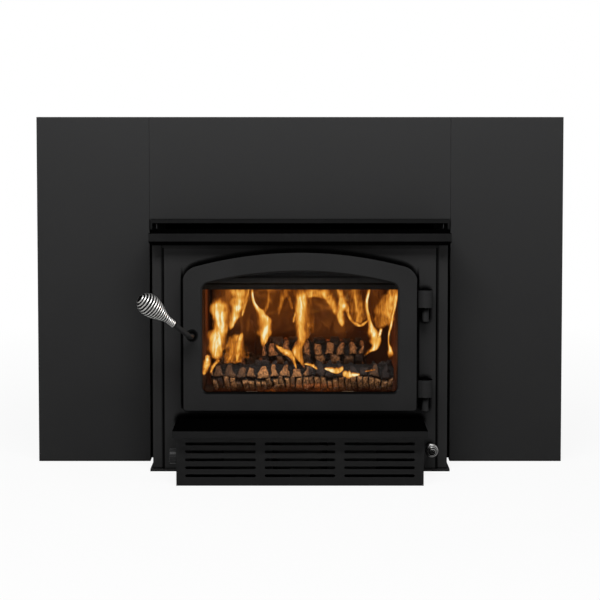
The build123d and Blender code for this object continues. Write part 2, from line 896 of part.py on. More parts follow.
# Risers bring the wash air up the front corners of the firebox
with BuildPart() as air_risers:
    with BuildSketch(Plane.XY.offset(firebox_floor_top)):
        with Locations(*[(side * riser_x, plate_back + riser_depth / 2) for side in (-1, 1)]):
            Rectangle(riser_width, riser_depth)
            Rectangle(riser_width - 2 * riser_wall, riser_depth - 2 * riser_wall, mode=Mode.SUBTRACT)
    extrude(amount=riser_top - firebox_floor_top)
air_risers.part.label = "air_risers"
export_step(air_risers.part, "parts/air_risers.step")

# Air duct under the floor, with the inlet that the damper plate covers
duct_low = firebox_floor_height - duct_height
duct_front = plate_back + duct_front_gap
duct_half = firebox_width / 2 - duct_side_gap
inlet_centre = duct_half - inlet_from_end
inlet_depth = damper_length - 2 * damper_overlap
damper_y = duct_front + duct_depth - damper_overlap - damper_length / 2
damper_top = duct_low - slide_gap
damper_low = damper_top - damper_thickness
guide_x = inlet_centre - inlet_width / 2 - damper_overlap - slide_gap
guide_shelf = damper_overlap - slide_gap
guide_floor = damper_low - slide_gap

with BuildPart() as air_duct:
    with Locations((0, duct_front + duct_depth / 2, duct_low + duct_height / 2)):
        Box(2 * duct_half, duct_depth, duct_height)
    with Locations((0, duct_front + duct_depth / 2, duct_low + plate / 2 + duct_height / 2)):
        Box(
            2 * (duct_half - casing_sheet),
            duct_depth - 2 * casing_sheet,
            duct_height - plate + 2,
            mode=Mode.SUBTRACT,
        )
    with Locations((inlet_centre, damper_y, duct_low)):
        Box(inlet_width, inlet_depth, 3 * plate, mode=Mode.SUBTRACT)
    with BuildSketch(Plane.XZ.offset(-duct_front)):
        with BuildLine():
            Polyline(
                (guide_x - guide_sheet, duct_low),
                (guide_x, duct_low),
                (guide_x, guide_floor),
                (guide_x + guide_shelf, guide_floor),
                (guide_x + guide_shelf, guide_floor - guide_sheet),
                (guide_x - guide_sheet, guide_floor - guide_sheet),
                close=True,
            )
        make_face()
    extrude(amount=-duct_depth)
air_duct.part.label = "air_duct"
export_step(air_duct.part, "parts/air_duct.step")

# Damper plate, clamped to the air rod by a block
damper_left = guide_x + slide_gap
damper_right = air_rod_x + damper_block / 2
block_low = air_rod_height - air_rod_radius - damper_block_below

with BuildPart() as air_damper:
    with Locations(((damper_left + damper_right) / 2, damper_y, (damper_low + damper_top) / 2)):
        Box(damper_right - damper_left, damper_length, damper_thickness)
    with Locations((air_rod_x, damper_y, (block_low + damper_low) / 2)):
        Box(damper_block, damper_length / 2, damper_low - block_low)
    with BuildSketch(Plane.XZ.offset(-damper_y - damper_length)):
        with Locations((air_rod_x, air_rod_height)):
            Circle(air_rod_radius)
    extrude(amount=2 * damper_length, mode=Mode.SUBTRACT)
air_damper.part.label = "air_damper"
export_step(air_damper.part, "parts/air_damper.step")

air_rod_front = front - air_knob_stand_off
air_rod_back = damper_y + damper_length / 2 + air_rod_tail
knob_core_length = knob_neck_turns * knob_neck_pitch + air_rod_past_neck

with BuildPart() as air_rod:
    with BuildSketch(front_view(air_rod_back)):
        with Locations((air_rod_x, air_rod_height)):
            Circle(air_rod_radius)
    extrude(amount=air_rod_back - air_rod_front + knob_core_length)
    chamfer(air_rod.edges().filter_by(GeomType.CIRCLE), pin_chamfer)
air_rod.part.label = "air_rod"
export_step(air_rod.part, "parts/air_rod.step")


def pear_profile(neck, belly, neck_length, flare, cap, end):
    """Half-section of a wound grip: a half-cosine flare, then a quarter-ellipse cap."""
    steps = 48
    section = []
    for i in range(steps + 1):
        share = i / steps
        swell = (1 - math.cos(math.pi * share)) / 2
        section.append((neck + (belly - neck) * swell, neck_length + flare * share))
    last = math.acos(end / belly)
    for i in range(1, steps + 1):
        angle = last * i / steps
        section.append((belly * math.cos(angle), neck_length + flare + cap * math.sin(angle)))
    return section


def wound_point(turn, neck, neck_turns, neck_pitch, body_turns, section):
    """Point of the wire's centre line after so many turns, the turns evenly along the section."""
    if turn <= neck_turns:
        radius, height = neck, turn * neck_pitch
    else:
        runs = [math.dist(a, b) for a, b in zip(section, section[1:])]
        share = (turn - neck_turns) / body_turns
        left = sum(runs) * (0.72 * share + 0.28 * share ** 2)
        i = 0
        while i < len(runs) - 1 and left > runs[i]:
            left -= runs[i]
            i += 1
        (r0, h0), (r1, h1) = section[i], section[i + 1]
        radius = r0 + (r1 - r0) * left / runs[i]
        height = h0 + (h1 - h0) * left / runs[i]
    angle = 2 * math.pi * turn
    return Vector(radius * math.cos(angle), radius * math.sin(angle), height)


def wound_route(frame, neck, neck_turns, neck_pitch, belly, body_turns, flare, cap, end):
    """Points and directions of the wire, one for each half turn, in the part's own frame."""
    section = pear_profile(neck, belly, neck_turns * neck_pitch, flare, cap, end)
    origin = frame.from_local_coords(Vector(0, 0, 0))
    route = []
    for half in range(round(2 * (neck_turns + body_turns)) + 1):
        turn = half / 2
        here = wound_point(turn, neck, neck_turns, neck_pitch, body_turns, section)
        ahead = wound_point(turn + 0.01, neck, neck_turns, neck_pitch, body_turns, section)
        behind = wound_point(turn - 0.01, neck, neck_turns, neck_pitch, body_turns, section)
        heading = frame.from_local_coords((ahead - behind).normalized()) - origin
        route.append((frame.from_local_coords(here), heading))
    return route


def wind(route):
    """Arcs through the route: each half turn is two arcs that meet tangent."""
    for (start, going), (stop, arriving) in zip(route, route[1:]):
        span = stop - start
        a = 2 * going.dot(arriving) - 2
        b = span.dot(going + arriving)
        reach = (b - math.sqrt(b * b - a * span.dot(span))) / a
        knee_in = start + going * reach
        knee_out = stop - arriving * reach
        joint = (knee_in + knee_out) * 0.5
        TangentArc(start, joint, tangent=going)
        TangentArc(joint, stop, tangent=knee_out - knee_in)


def least_gap(path, wire, half_turns):
    """Smallest distance between the wire's surfaces on neighbouring turns, from sampled points."""
    per_half = 12
    count = per_half * half_turns
    spots = [path.position_at(i / count) for i in range(count + 1)]
    gap = math.inf
    for i, spot in enumerate(spots):
        for other in spots[i + per_half:]:
            gap = min(gap, (other - spot).length - wire)
    return gap


# Wound knob of the air rod, seen end-on from the front
knob_frame = Plane(origin=(air_rod_x, air_rod_front, air_rod_height), z_dir=(0, -1, 0))
knob_route = wound_route(
    knob_frame,
    air_rod_radius + grip_fit + knob_wire / 2,
    knob_neck_turns,
    knob_neck_pitch,
    knob_belly_radius,
    knob_body_turns,
    knob_flare,
    knob_cap,
    knob_end_radius,
)

with BuildPart() as air_knob:
    with BuildLine() as knob_line:
        wind(knob_route)
    with BuildSketch(Plane(origin=knob_route[0][0], z_dir=knob_route[0][1])):
        Circle(knob_wire / 2)
    sweep(path=knob_line.wire())
knob_gap_found = least_gap(knob_line.wire(), knob_wire, len(knob_route) - 1)
print(f"air knob wire gap {knob_gap_found:.2f} mm, at least {least_wire_gap} wanted")
air_knob.part.label = "air_knob"
export_step(air_knob.part, "parts/air_knob.step")

# Ash lip: a tray edge below the door
lip_front = front - lip_depth

with BuildPart() as ash_lip:
    with BuildSketch(Plane.XY.offset(lip_underside)):
        with Locations((0, (lip_front + front) / 2)):
            Rectangle(lip_width, lip_depth)
    extrude(amount=lip_sheet)
    with BuildSketch(Plane.XY.offset(lip_height - lip_fold)):
        with Locations((0, (lip_front + front) / 2)):
            Rectangle(lip_width, lip_depth)
            with Locations((0, lip_sheet)):
                Rectangle(lip_width - 2 * lip_sheet, lip_depth, mode=Mode.SUBTRACT)
    extrude(amount=lip_fold - lip_sheet)
    with BuildSketch(Plane.XZ.offset(-front)):
        with Locations((0, lip_underside - lip_back_fold / 2)):
            Rectangle(case_width, lip_back_fold)
    extrude(amount=lip_sheet)
    chamfer(ash_lip.faces().sort_by(Axis.Y)[0].edges().sort_by(Axis.Z)[-1], edge_break)
ash_lip.part.label = "ash_lip"
export_step(ash_lip.part, "parts/ash_lip.step")

# Blower case: top, bottom and ends, open to the front where the grille closes it
case_back = front - lip_sheet - case_top_gap
case_length = case_back - case_front - case_sheet

with BuildPart() as blower_case:
    with BuildSketch(Plane.XZ.offset(-case_back)):
        with Locations((0, case_top / 2)):
            Rectangle(case_width, case_top)
            Rectangle(case_width - 2 * case_sheet, case_top - 2 * case_sheet, mode=Mode.SUBTRACT)
    extrude(amount=case_length)
    with BuildSketch(Plane.YZ.offset(-case_half - 1)):
        with Locations((speed_y, speed_height)):
            Circle(speed_shaft_radius + shaft_fit)
    extrude(amount=case_sheet + 2, mode=Mode.SUBTRACT)
    with BuildSketch(Plane.YZ.offset(case_half - case_sheet - 1)):
        with Locations((gland_y, gland_height)):
            Circle(gland_radius)
    extrude(amount=case_sheet + 2, mode=Mode.SUBTRACT)
blower_case.part.label = "blower_case"
export_step(blower_case.part, "parts/blower_case.step")

# Grille: a flat front with rows of slots, each with a small hood pressed out behind it
louvre_mid = louvre_first_height + louvre_pitch * (louvre_rows - 1) / 2

with BuildPart() as blower_grille:
    with BuildSketch(Plane.XZ.offset(-case_front - case_sheet)):
        with Locations((0, case_top / 2)):
            Rectangle(case_width, case_top)
        with Locations((0, louvre_mid)):
            with GridLocations(louvre_column_pitch, louvre_pitch, louvre_columns, louvre_rows):
                SlotOverall(louvre_length, louvre_slot, mode=Mode.SUBTRACT)
    extrude(amount=case_sheet)
    with BuildSketch(Plane.XZ.offset(-case_front - case_sheet)):
        with Locations((0, louvre_mid + louvre_slot / 2 + case_sheet / 2)):
            with GridLocations(louvre_column_pitch, louvre_pitch, louvre_columns, louvre_rows):
                Rectangle(louvre_length, case_sheet)
    extrude(amount=-louvre_hood)
blower_grille.part.label = "blower_grille"
export_step(blower_grille.part, "parts/blower_grille.step")

# Motor with a bearing boss at each end
boss_reach = scroll_start + scroll_sheet

with BuildPart() as blower_motor:
    with BuildSketch(Plane.YZ.offset(-motor_length / 2)):
        with Locations((fan_y, fan_height)):
            Circle(motor_radius)
    extrude(amount=motor_length)
    fillet(blower_motor.edges().filter_by(GeomType.CIRCLE), motor_edge)
    with BuildSketch(Plane.YZ.offset(-boss_reach)):
        with Locations((fan_y, fan_height)):
            Circle(motor_boss_radius)
    extrude(amount=2 * boss_reach)
    with BuildSketch(Plane.YZ.offset(-boss_reach)):
        with Locations((fan_y, fan_height)):
            Circle(fan_shaft_radius + shaft_fit)
    extrude(amount=2 * boss_reach, mode=Mode.SUBTRACT)
blower_motor.part.label = "blower_motor"
export_step(blower_motor.part, "parts/blower_motor.step")

wheel_start = scroll_start + scroll_sheet + wheel_gap
wheel_length = scroll_length - 2 * (scroll_sheet + wheel_gap)
wheel_end = wheel_start + wheel_length

with BuildPart() as fan_shaft:
    with BuildSketch(Plane.YZ.offset(-wheel_end)):
        with Locations((fan_y, fan_height)):
            Circle(fan_shaft_radius)
    extrude(amount=2 * wheel_end)
    chamfer(fan_shaft.edges().filter_by(GeomType.CIRCLE), pin_chamfer)
fan_shaft.part.label = "fan_shaft"
export_step(fan_shaft.part, "parts/fan_shaft.step")

# Squirrel-cage wheels: a drive disc, a ring of blades and an end ring
with BuildPart() as fan_wheels:
    with BuildSketch(Plane.YZ.offset(wheel_start)):
        with Locations((fan_y, fan_height)):
            Circle(wheel_radius)
    extrude(amount=wheel_disc)
    with BuildSketch(Plane.YZ.offset(wheel_start)):
        with Locations((fan_y, fan_height)):
            Circle(hub_radius)
    extrude(amount=hub_length)
    with BuildSketch(Plane.YZ.offset(wheel_start + wheel_disc)):
        with Locations((fan_y, fan_height)):
            with PolarLocations(wheel_radius - blade_depth / 2, blade_count):
                Rectangle(blade_depth - blade_gap, blade_thickness)
    extrude(amount=wheel_length - 2 * wheel_disc)
    with BuildSketch(Plane.YZ.offset(wheel_end - wheel_disc)):
        with Locations((fan_y, fan_height)):
            Circle(wheel_radius)
            Circle(wheel_radius - blade_depth, mode=Mode.SUBTRACT)
    extrude(amount=wheel_disc)
    with BuildSketch(Plane.YZ.offset(wheel_start)):
        with Locations((fan_y, fan_height)):
            Circle(fan_shaft_radius)
    extrude(amount=hub_length, mode=Mode.SUBTRACT)
    mirror(about=Plane.YZ)
fan_wheels.part.label = "fan_wheels"
export_step(fan_wheels.part, "parts/fan_wheels.step")


def draw_scroll(inset):
    """Side view of a scroll: a round back that runs out into a duct towards the firebox."""
    radius = scroll_radius - inset
    scroll_duct = radius - inset
    with Locations((fan_y, fan_height)):
        Circle(radius)
    with Locations(((fan_y + front) / 2, fan_height - inset - scroll_duct / 2)):
        Rectangle(front - fan_y, scroll_duct)


# Scrolls: sheet housings round the wheels, open to the case at their outer ends
with BuildPart() as fan_scrolls:
    with BuildSketch(Plane.YZ.offset(scroll_start)):
        draw_scroll(0)
    extrude(amount=scroll_length)
    with BuildSketch(Plane.YZ.offset(scroll_start + scroll_sheet)):
        draw_scroll(scroll_sheet)
    extrude(amount=scroll_length - 2 * scroll_sheet, mode=Mode.SUBTRACT)
    with BuildSketch(Plane.YZ.offset(scroll_start - 1)):
        with Locations((fan_y, fan_height)):
            Circle(motor_boss_radius + motor_boss_fit)
    extrude(amount=scroll_sheet + 2, mode=Mode.SUBTRACT)
    with BuildSketch(Plane.YZ.offset(scroll_start + scroll_length - scroll_sheet - 1)):
        with Locations((fan_y, fan_height)):
            Circle(scroll_inlet_radius)
    extrude(amount=scroll_sheet + 2, mode=Mode.SUBTRACT)
    mirror(about=Plane.YZ)
fan_scrolls.part.label = "fan_scrolls"
export_step(fan_scrolls.part, "parts/fan_scrolls.step")

# Motor saddle: stands on the case floor under the motor
with BuildPart() as motor_saddle:
    with BuildSketch(Plane.YZ.offset(-saddle_width / 2)):
        with Locations((fan_y, (case_sheet + fan_height) / 2)):
            Rectangle(saddle_depth, fan_height - case_sheet)
        with Locations((fan_y, fan_height)):
            Circle(motor_radius, mode=Mode.SUBTRACT)
    extrude(amount=saddle_width)
motor_saddle.part.label = "motor_saddle"
export_step(motor_saddle.part, "parts/motor_saddle.step")

# Fan speed control inside the case, and its knob on the left end
control_x = -case_half + case_sheet

with BuildPart() as speed_control:
    with Locations((control_x + control_size / 2, speed_y, speed_height)):
        Box(control_size, control_depth, control_size)
    with BuildSketch(Plane.YZ.offset(control_x - 1)):
        with Locations((speed_y, speed_height)):
            Circle(speed_shaft_radius + shaft_fit)
    extrude(amount=control_size / 2 + 1, mode=Mode.SUBTRACT)
speed_control.part.label = "speed_control"
export_step(speed_control.part, "parts/speed_control.step")

knob_inner = -case_half - knob_gap
knob_outer = knob_inner - knob_thickness

with BuildPart() as speed_knob:
    with BuildSketch(Plane.YZ.offset(knob_outer)):
        with Locations((speed_y, speed_height)):
            Circle(knob_radius)
            with PolarLocations(knob_radius + knob_groove / 3, knob_grooves, start_angle=15):
                Circle(knob_groove, mode=Mode.SUBTRACT)
    extrude(amount=knob_thickness)
    fillet(speed_knob.faces().sort_by(Axis.X)[0].edges(), knob_edge)
    with Locations((knob_outer, speed_y, speed_height + knob_radius - knob_edge - pointer_length / 2)):
        Box(pointer_height, pointer_width, pointer_length)
    with BuildSketch(Plane.YZ.offset(knob_inner)):
        with Locations((speed_y, speed_height)):
            Circle(speed_shaft_radius)
    extrude(amount=knob_gap + case_sheet + control_size / 2 - speed_shaft_end_gap)
speed_knob.part.label = "speed_knob"
export_step(speed_knob.part, "parts/speed_knob.step")

# Cord gland in the right end of the case
with BuildPart() as cord_gland:
    with BuildSketch(Plane.YZ.offset(case_half - case_sheet - gland_stub)):
        with Locations((gland_y, gland_height)):
            Circle(gland_radius)
    extrude(amount=gland_stub + case_sheet)
    with BuildSketch(Plane.YZ.offset(case_half)):
        with Locations((gland_y, gland_height)):
            Circle(gland_flange)
    extrude(amount=gland_flange_thickness)
    fillet(cord_gland.faces().sort_by(Axis.X)[-1].edges(), edge_break)
    with BuildSketch(Plane.YZ.offset(case_half - case_sheet - gland_stub - 1)):
        with Locations((gland_y, gland_height)):
            Circle(gland_bore)
    extrude(amount=gland_stub + case_sheet + gland_flange_thickness + 2, mode=Mode.SUBTRACT)
cord_gland.part.label = "cord_gland"
export_step(cord_gland.part, "parts/cord_gland.step")

# Thermal switch, on the back of the front plate at the lower left
switch_x = switch_from_plate_end - front_plate_width / 2

with BuildPart() as thermal_switch:
    with BuildSketch(front_view(plate_back)):
        with Locations((switch_x, air_rod_height)):
            Rectangle(switch_flange_width, switch_flange_height)
    extrude(amount=-switch_flange_thickness)
    with BuildSketch(front_view(plate_back + switch_flange_thickness)):
        with Locations((switch_x, air_rod_height)):
            Circle(switch_radius)
    extrude(amount=-switch_length)
thermal_switch.part.label = "thermal_switch"
export_step(thermal_switch.part, "parts/thermal_switch.step")

# Door frame: an arched casting with the glass opening and two hinge lugs
edge_outline = door_outline(0, 0, door_top_corner, door_bottom_corner)
rope_outer = door_outline(
    rope_inset, rope_inset, door_top_corner - rope_inset, door_bottom_corner - rope_inset
)
rope_inner = door_outline(
    rope_inset + rope_width,
    rope_inset + rope_width,
    door_top_corner - rope_inset - rope_width,
    rope_corner,
)
glass_edge = opening_outline(glass_margin)
pocket_edge = opening_outline(glass_margin + glass_side_gap)
pocket_depth = door_thickness - glass_front_lip
hub_plane = Plane(origin=(-handle_x, door_face, handle_height), z_dir=(0, -1, 0))
lug_root = door_half - hinge_lug_overlap

with BuildPart() as door_frame:
    with BuildSketch(front_view(door_back)):
        add(edge_outline)
    extrude(amount=door_thickness)
    fillet(door_frame.faces().sort_by(Axis.Y)[0].edges(), door_edge_round)
    with BuildSketch(front_view(door_back)):
        add(opening_outline(0))
    extrude(amount=door_thickness, mode=Mode.SUBTRACT)
    chamfer(door_frame.faces().sort_by(Axis.Y)[0].inner_wires()[0].edges(), opening_bevel)
    for z in hinge_lug_heights:
        with BuildSketch(Plane.XY.offset(z)):
            with Locations((hinge_x, hinge_y)):
                Circle(hinge_lug_radius)
            with Locations(((lug_root + hinge_x) / 2, hinge_y - hinge_arm_shift)):
                Rectangle(hinge_x - lug_root, hinge_arm_depth)
        extrude(amount=hinge_lug_length)
        with BuildSketch(Plane.XY.offset(z)):
            with Locations((hinge_x, hinge_y)):
                Circle(hinge_pin_radius + shaft_fit)
        extrude(amount=hinge_lug_length, mode=Mode.SUBTRACT)
    with BuildSketch(front_view(door_back)):
        add(rope_outer)
        add(rope_inner, mode=Mode.SUBTRACT)
    extrude(amount=rope_groove, mode=Mode.SUBTRACT)
    with BuildSketch(front_view(door_back)):
        add(pocket_edge)
    extrude(amount=pocket_depth, mode=Mode.SUBTRACT)
    with BuildSketch(hub_plane):
        Circle(bushing_recess)
    extrude(amount=-bushing_recess_depth, mode=Mode.SUBTRACT)
    with BuildSketch(hub_plane):
        Circle(bushing_radius)
    extrude(amount=-bushing_length, mode=Mode.SUBTRACT)
    with BuildSketch(hub_plane):
        Circle(handle_rod_radius + shaft_fit)
    extrude(amount=-door_thickness, mode=Mode.SUBTRACT)
door_frame.part.label = "door_frame"
export_step(door_frame.part, "parts/door_frame.step")

# Glass, with tape in front of it
with BuildPart() as door_glass:
    with BuildSketch(front_view(glass_back)):
        add(glass_edge)
    extrude(amount=glass_thickness)
door_glass.part.label = "door_glass"
export_step(door_glass.part, "parts/door_glass.step")

with BuildPart() as glass_tape:
    with BuildSketch(front_view(glass_front)):
        add(glass_edge)
        add(opening_outline(tape_set_back), mode=Mode.SUBTRACT)
    extrude(amount=tape_thickness)
glass_tape.part.label = "glass_tape"
export_step(glass_tape.part, "parts/glass_tape.step")

# Rope gasket in the groove round the back of the door
rope_back = front - rope_gap
rope_front = door_back - rope_groove

with BuildPart() as door_rope:
    with BuildSketch(front_view(rope_back)):
        add(rope_outer)
        add(rope_inner, mode=Mode.SUBTRACT)
    extrude(amount=rope_back - rope_front)
    chamfer(door_rope.faces().sort_by(Axis.Y)[-1].edges(), rope_width / 4)
door_rope.part.label = "door_rope"
export_step(door_rope.part, "parts/door_rope.step")

# Glass clips: a base screwed to the back of the frame and a finger on the glass
pocket_half = door_half - rail + glass_margin + glass_side_gap
pocket_low = door_bottom + opening_bottom_rail - glass_margin - glass_side_gap
arch_pocket = door_arch_radius - rail + glass_margin + glass_side_gap
arch_centre = door_top - door_arch_radius
clip_tilt = math.degrees(math.asin(clip_centre_offset / arch_pocket))
arch_x = arch_pocket * math.sin(math.radians(clip_tilt))
arch_z = arch_centre + arch_pocket * math.cos(math.radians(clip_tilt))
clip_side_low = door_bottom + clip_above_door_bottom
clip_side_high = door_top - clip_below_door_top
clip_places = [
    (-pocket_half, clip_side_low, 90),
    (-pocket_half, clip_side_high, 90),
    (pocket_half, clip_side_low, -90),
    (pocket_half, clip_side_high, -90),
    (-clip_centre_offset, pocket_low, 180),
    (clip_centre_offset, pocket_low, 180),
    (-arch_x, arch_z, clip_tilt),
    (arch_x, arch_z, -clip_tilt),
]


def clip_plane(x, z, turn, y):
    """Plane at the pocket's edge, its Y away from the glass and its normal towards the room."""
    angle = math.radians(turn)
    return Plane(origin=(x, y, z), x_dir=(math.cos(angle), 0, math.sin(angle)), z_dir=(0, -1, 0))


finger_reach = door_back - glass_back

with BuildPart() as glass_clips:
    for x, z, turn in clip_places:
        with BuildSketch(clip_plane(x, z, turn, door_back + clip_sheet)):
            with Locations((0, (clip_base - clip_finger - clip_edge_gap) / 2)):
                RectangleRounded(clip_width, clip_base + clip_finger + clip_edge_gap, clip_corner)
            with Locations((0, clip_screw_offset)):
                Circle(bolt_hole_radius, mode=Mode.SUBTRACT)
        extrude(amount=clip_sheet)
        with BuildSketch(clip_plane(x, z, turn, door_back)):
            with Locations((0, -clip_edge_gap - clip_finger / 2)):
                Rectangle(clip_width - 2 * clip_finger_inset, clip_finger)
        extrude(amount=finger_reach)
glass_clips.part.label = "glass_clips"
export_step(glass_clips.part, "parts/glass_clips.step")

with BuildPart() as clip_screws:
    for x, z, turn in clip_places:
        with BuildSketch(clip_plane(x, z, turn, door_back + clip_sheet)):
            with Locations((0, clip_screw_offset)):
                Circle(bolt_radius)
        extrude(amount=clip_sheet)
        with BuildSketch(clip_plane(x, z, turn, door_back + clip_sheet + bolt_head_height)):
            with Locations((0, clip_screw_offset)):
                Circle(bolt_head_radius)
        extrude(amount=bolt_head_height)
clip_screws.part.label = "clip_screws"
export_step(clip_screws.part, "parts/clip_screws.step")

# Bushing of the handle, sunk in the door face
with BuildPart() as handle_bushing:
    with BuildSketch(hub_plane.offset(-bushing_recess_depth)):
        Circle(bushing_radius)
        Circle(handle_rod_radius + shaft_fit, mode=Mode.SUBTRACT)
    extrude(amount=bushing_recess_depth - bushing_length)
    with BuildSketch(hub_plane.offset(-bushing_recess_depth)):
        Circle(bushing_radius + bushing_flange)
        Circle(handle_rod_radius + shaft_fit, mode=Mode.SUBTRACT)
    extrude(amount=bushing_recess_depth)
handle_bushing.part.label = "handle_bushing"
export_step(handle_bushing.part, "parts/handle_bushing.step")

# Hinge posts on the front plate, each with an arm and a bore, and their pins
post_tops = [z - hinge_gap for z in hinge_lug_heights]

with BuildPart() as hinge_posts:
    for top in post_tops:
        with BuildSketch(Plane.XY.offset(top - hinge_post_length)):
            with Locations((hinge_x, hinge_y)):
                Circle(hinge_post_radius)
            with Locations((hinge_x, (hinge_y + front) / 2)):
                Rectangle(2 * hinge_post_radius, front - hinge_y)
        extrude(amount=hinge_post_length)
        with BuildSketch(Plane.XY.offset(top - hinge_post_length)):
            with Locations((hinge_x, hinge_y)):
                Circle(hinge_pin_radius)
        extrude(amount=hinge_post_length, mode=Mode.SUBTRACT)
hinge_posts.part.label = "hinge_posts"
export_step(hinge_posts.part, "parts/hinge_posts.step")

pin_length = hinge_post_length + hinge_gap + hinge_lug_length - hinge_pin_short

with BuildPart() as hinge_pins:
    for top in post_tops:
        with BuildSketch(Plane.XY.offset(top - hinge_post_length)):
            with Locations((hinge_x, hinge_y)):
                Circle(hinge_pin_radius)
        extrude(amount=pin_length)
    chamfer(hinge_pins.edges().filter_by(GeomType.CIRCLE), pin_chamfer)
hinge_pins.part.label = "hinge_pins"
export_step(hinge_pins.part, "parts/hinge_pins.step")

# Handle rod: out of the door, then bent up, to the side and slightly out to the wound grip
lift = math.radians(handle_lift)
lean = math.radians(handle_lean)
grip_way = Vector(
    -math.cos(lift) * math.cos(lean), -math.sin(lean), math.sin(lift) * math.cos(lean)
)
hub = Vector(-handle_x, door_face, handle_height)
knee = hub + Vector(0, -handle_stub, 0)
shoulder = knee + grip_way * handle_reach
catch_back = front - catch_base
cam_back = catch_back - catch_gap
cam_front = cam_back - cam_thickness
rod_end = Vector(-handle_x, cam_front, handle_height)

with BuildPart() as handle_rod:
    with BuildLine() as rod_line:
        FilletPolyline(rod_end, knee, shoulder, radius=handle_bend)
    with BuildSketch(Plane(origin=rod_end, z_dir=(0, -1, 0))):
        Circle(handle_rod_radius)
    sweep(path=rod_line.wire())
    with BuildSketch(Plane(origin=shoulder, z_dir=grip_way)):
        Circle(handle_tip_radius)
    extrude(amount=handle_tip_length)
    with BuildSketch(Plane(origin=rod_end, z_dir=(0, 1, 0))):
        Circle(handle_tip_radius)
    extrude(amount=cam_thickness)
handle_rod.part.label = "handle_rod"
export_step(handle_rod.part, "parts/handle_rod.step")

grip_frame = Plane(origin=shoulder + grip_way * (grip_wire / 2 + grip_fit), z_dir=grip_way)
grip_route = wound_route(
    grip_frame,
    handle_tip_radius + grip_fit + grip_wire / 2,
    grip_neck_turns,
    grip_neck_pitch,
    grip_belly_radius,
    grip_body_turns,
    grip_flare,
    grip_cap,
    grip_end_radius,
)

with BuildPart() as handle_grip:
    with BuildLine() as grip_line:
        wind(grip_route)
    with BuildSketch(Plane(origin=grip_route[0][0], z_dir=grip_route[0][1])):
        Circle(grip_wire / 2)
    sweep(path=grip_line.wire())
grip_gap_found = least_gap(grip_line.wire(), grip_wire, len(grip_route) - 1)
print(f"handle grip wire gap {grip_gap_found:.2f} mm, at least {least_wire_gap} wanted")
handle_grip.part.label = "handle_grip"
export_step(handle_grip.part, "parts/handle_grip.step")

# Latch cam on the rod's end: at rest it points up, behind the catch
cam_reach = cam_length - cam_tip

with BuildPart() as latch_cam:
    with BuildSketch(Plane.XZ.offset(-cam_back)) as cam_plan:
        with Locations((-handle_x, handle_height)):
            Circle(cam_hub)
        with Locations((-handle_x, handle_height + cam_reach)):
            Circle(cam_tip)
        make_hull()
        with Locations((-handle_x, handle_height)):
            Circle(handle_tip_radius, mode=Mode.SUBTRACT)
    extrude(amount=cam_thickness)
latch_cam.part.label = "latch_cam"
export_step(latch_cam.part, "parts/latch_cam.step")

# Latch catch: a channel on the front plate, open towards the mouth
catch_left = -handle_x - cam_hub - catch_gap - catch_riser
catch_low = handle_height + cam_hub + catch_above_hub
tongue_back = cam_front - catch_gap
tongue_front = tongue_back - catch_tongue

with BuildPart() as latch_catch:
    with BuildSketch(Plane.XY.offset(catch_low)):
        with BuildLine():
            Polyline(
                (catch_left, front),
                (catch_left + catch_width, front),
                (catch_left + catch_width, catch_back),
                (catch_left + catch_riser, catch_back),
                (catch_left + catch_riser, tongue_back),
                (catch_left + catch_width, tongue_back),
                (catch_left + catch_width, tongue_front),
                (catch_left, tongue_front),
                close=True,
            )
        make_face()
    extrude(amount=catch_height)
latch_catch.part.label = "latch_catch"
export_step(latch_catch.part, "parts/latch_catch.step")


def log_section(size):
    """Half-section of a charred log: a barrel with grooves burnt round it."""
    length, radius = size["length"], size["radius"]
    pieces = round(length / log_segment)
    step = length / pieces
    end_radius = radius * log_end_share
    outline = [(-length / 2, 0), (-length / 2, end_radius)]
    for i in range(pieces):
        share = (i + 0.5) / pieces - 0.5
        swell = radius * (1 - size["belly"] * (2 * share) ** 2)
        left = -length / 2 + i * step
        outline.append((left + 0.2 * step, swell))
        outline.append((left + 0.8 * step, swell))
        if i < pieces - 1:
            outline.append((left + step, swell - log_groove))
    outline += [(length / 2, end_radius), (length / 2, 0)]
    return outline


bed_top = brick_floor_top + ember_depth
front_log_z = bed_top + front_log["radius"] - log_sink
rear_log_z = bed_top + rear_log["radius"] - log_sink


def resting_place(a, b, reach_a, reach_b):
    """Point above two circle centres at the given distances from them."""
    span = math.dist(a, b)
    along = (reach_a ** 2 - reach_b ** 2 + span ** 2) / (2 * span)
    up = math.sqrt(reach_a ** 2 - along ** 2)
    ux, uz = (b[0] - a[0]) / span, (b[1] - a[1]) / span
    return a[0] + ux * along - uz * up, a[1] + uz * along + ux * up


front_log_y = brick_front + front_log["behind"]
rear_log_y = brick_front + rear_log["behind"]
top_log_y, top_log_z = resting_place(
    (front_log_y, front_log_z),
    (rear_log_y, rear_log_z),
    front_log["radius"] + top_log["radius"] + log_clearance,
    rear_log["radius"] + top_log["radius"] + log_clearance,
)


def log_plane(size, y, z):
    """Plane through a log's axis: local X along the log, local Y up."""
    return Plane(origin=(size["x"], y, z), x_dir=(1, 0, 0), z_dir=(0, -1, 0))


with BuildPart() as log_front:
    with BuildSketch(log_plane(front_log, front_log_y, front_log_z)):
        with BuildLine():
            Polyline(*log_section(front_log), close=True)
        make_face()
    revolve(axis=Axis((0, front_log_y, front_log_z), (1, 0, 0)))
log_front.part.label = "log_front"
export_step(log_front.part, "parts/log_front.step")

with BuildPart() as logs_back:
    for size, y, z in ((rear_log, rear_log_y, rear_log_z), (top_log, top_log_y, top_log_z)):
        with BuildSketch(log_plane(size, y, z)):
            with BuildLine():
                Polyline(*log_section(size), close=True)
            make_face()
        revolve(axis=Axis((0, y, z), (1, 0, 0)))
logs_back.part.label = "logs_back"
export_step(logs_back.part, "parts/logs_back.step")

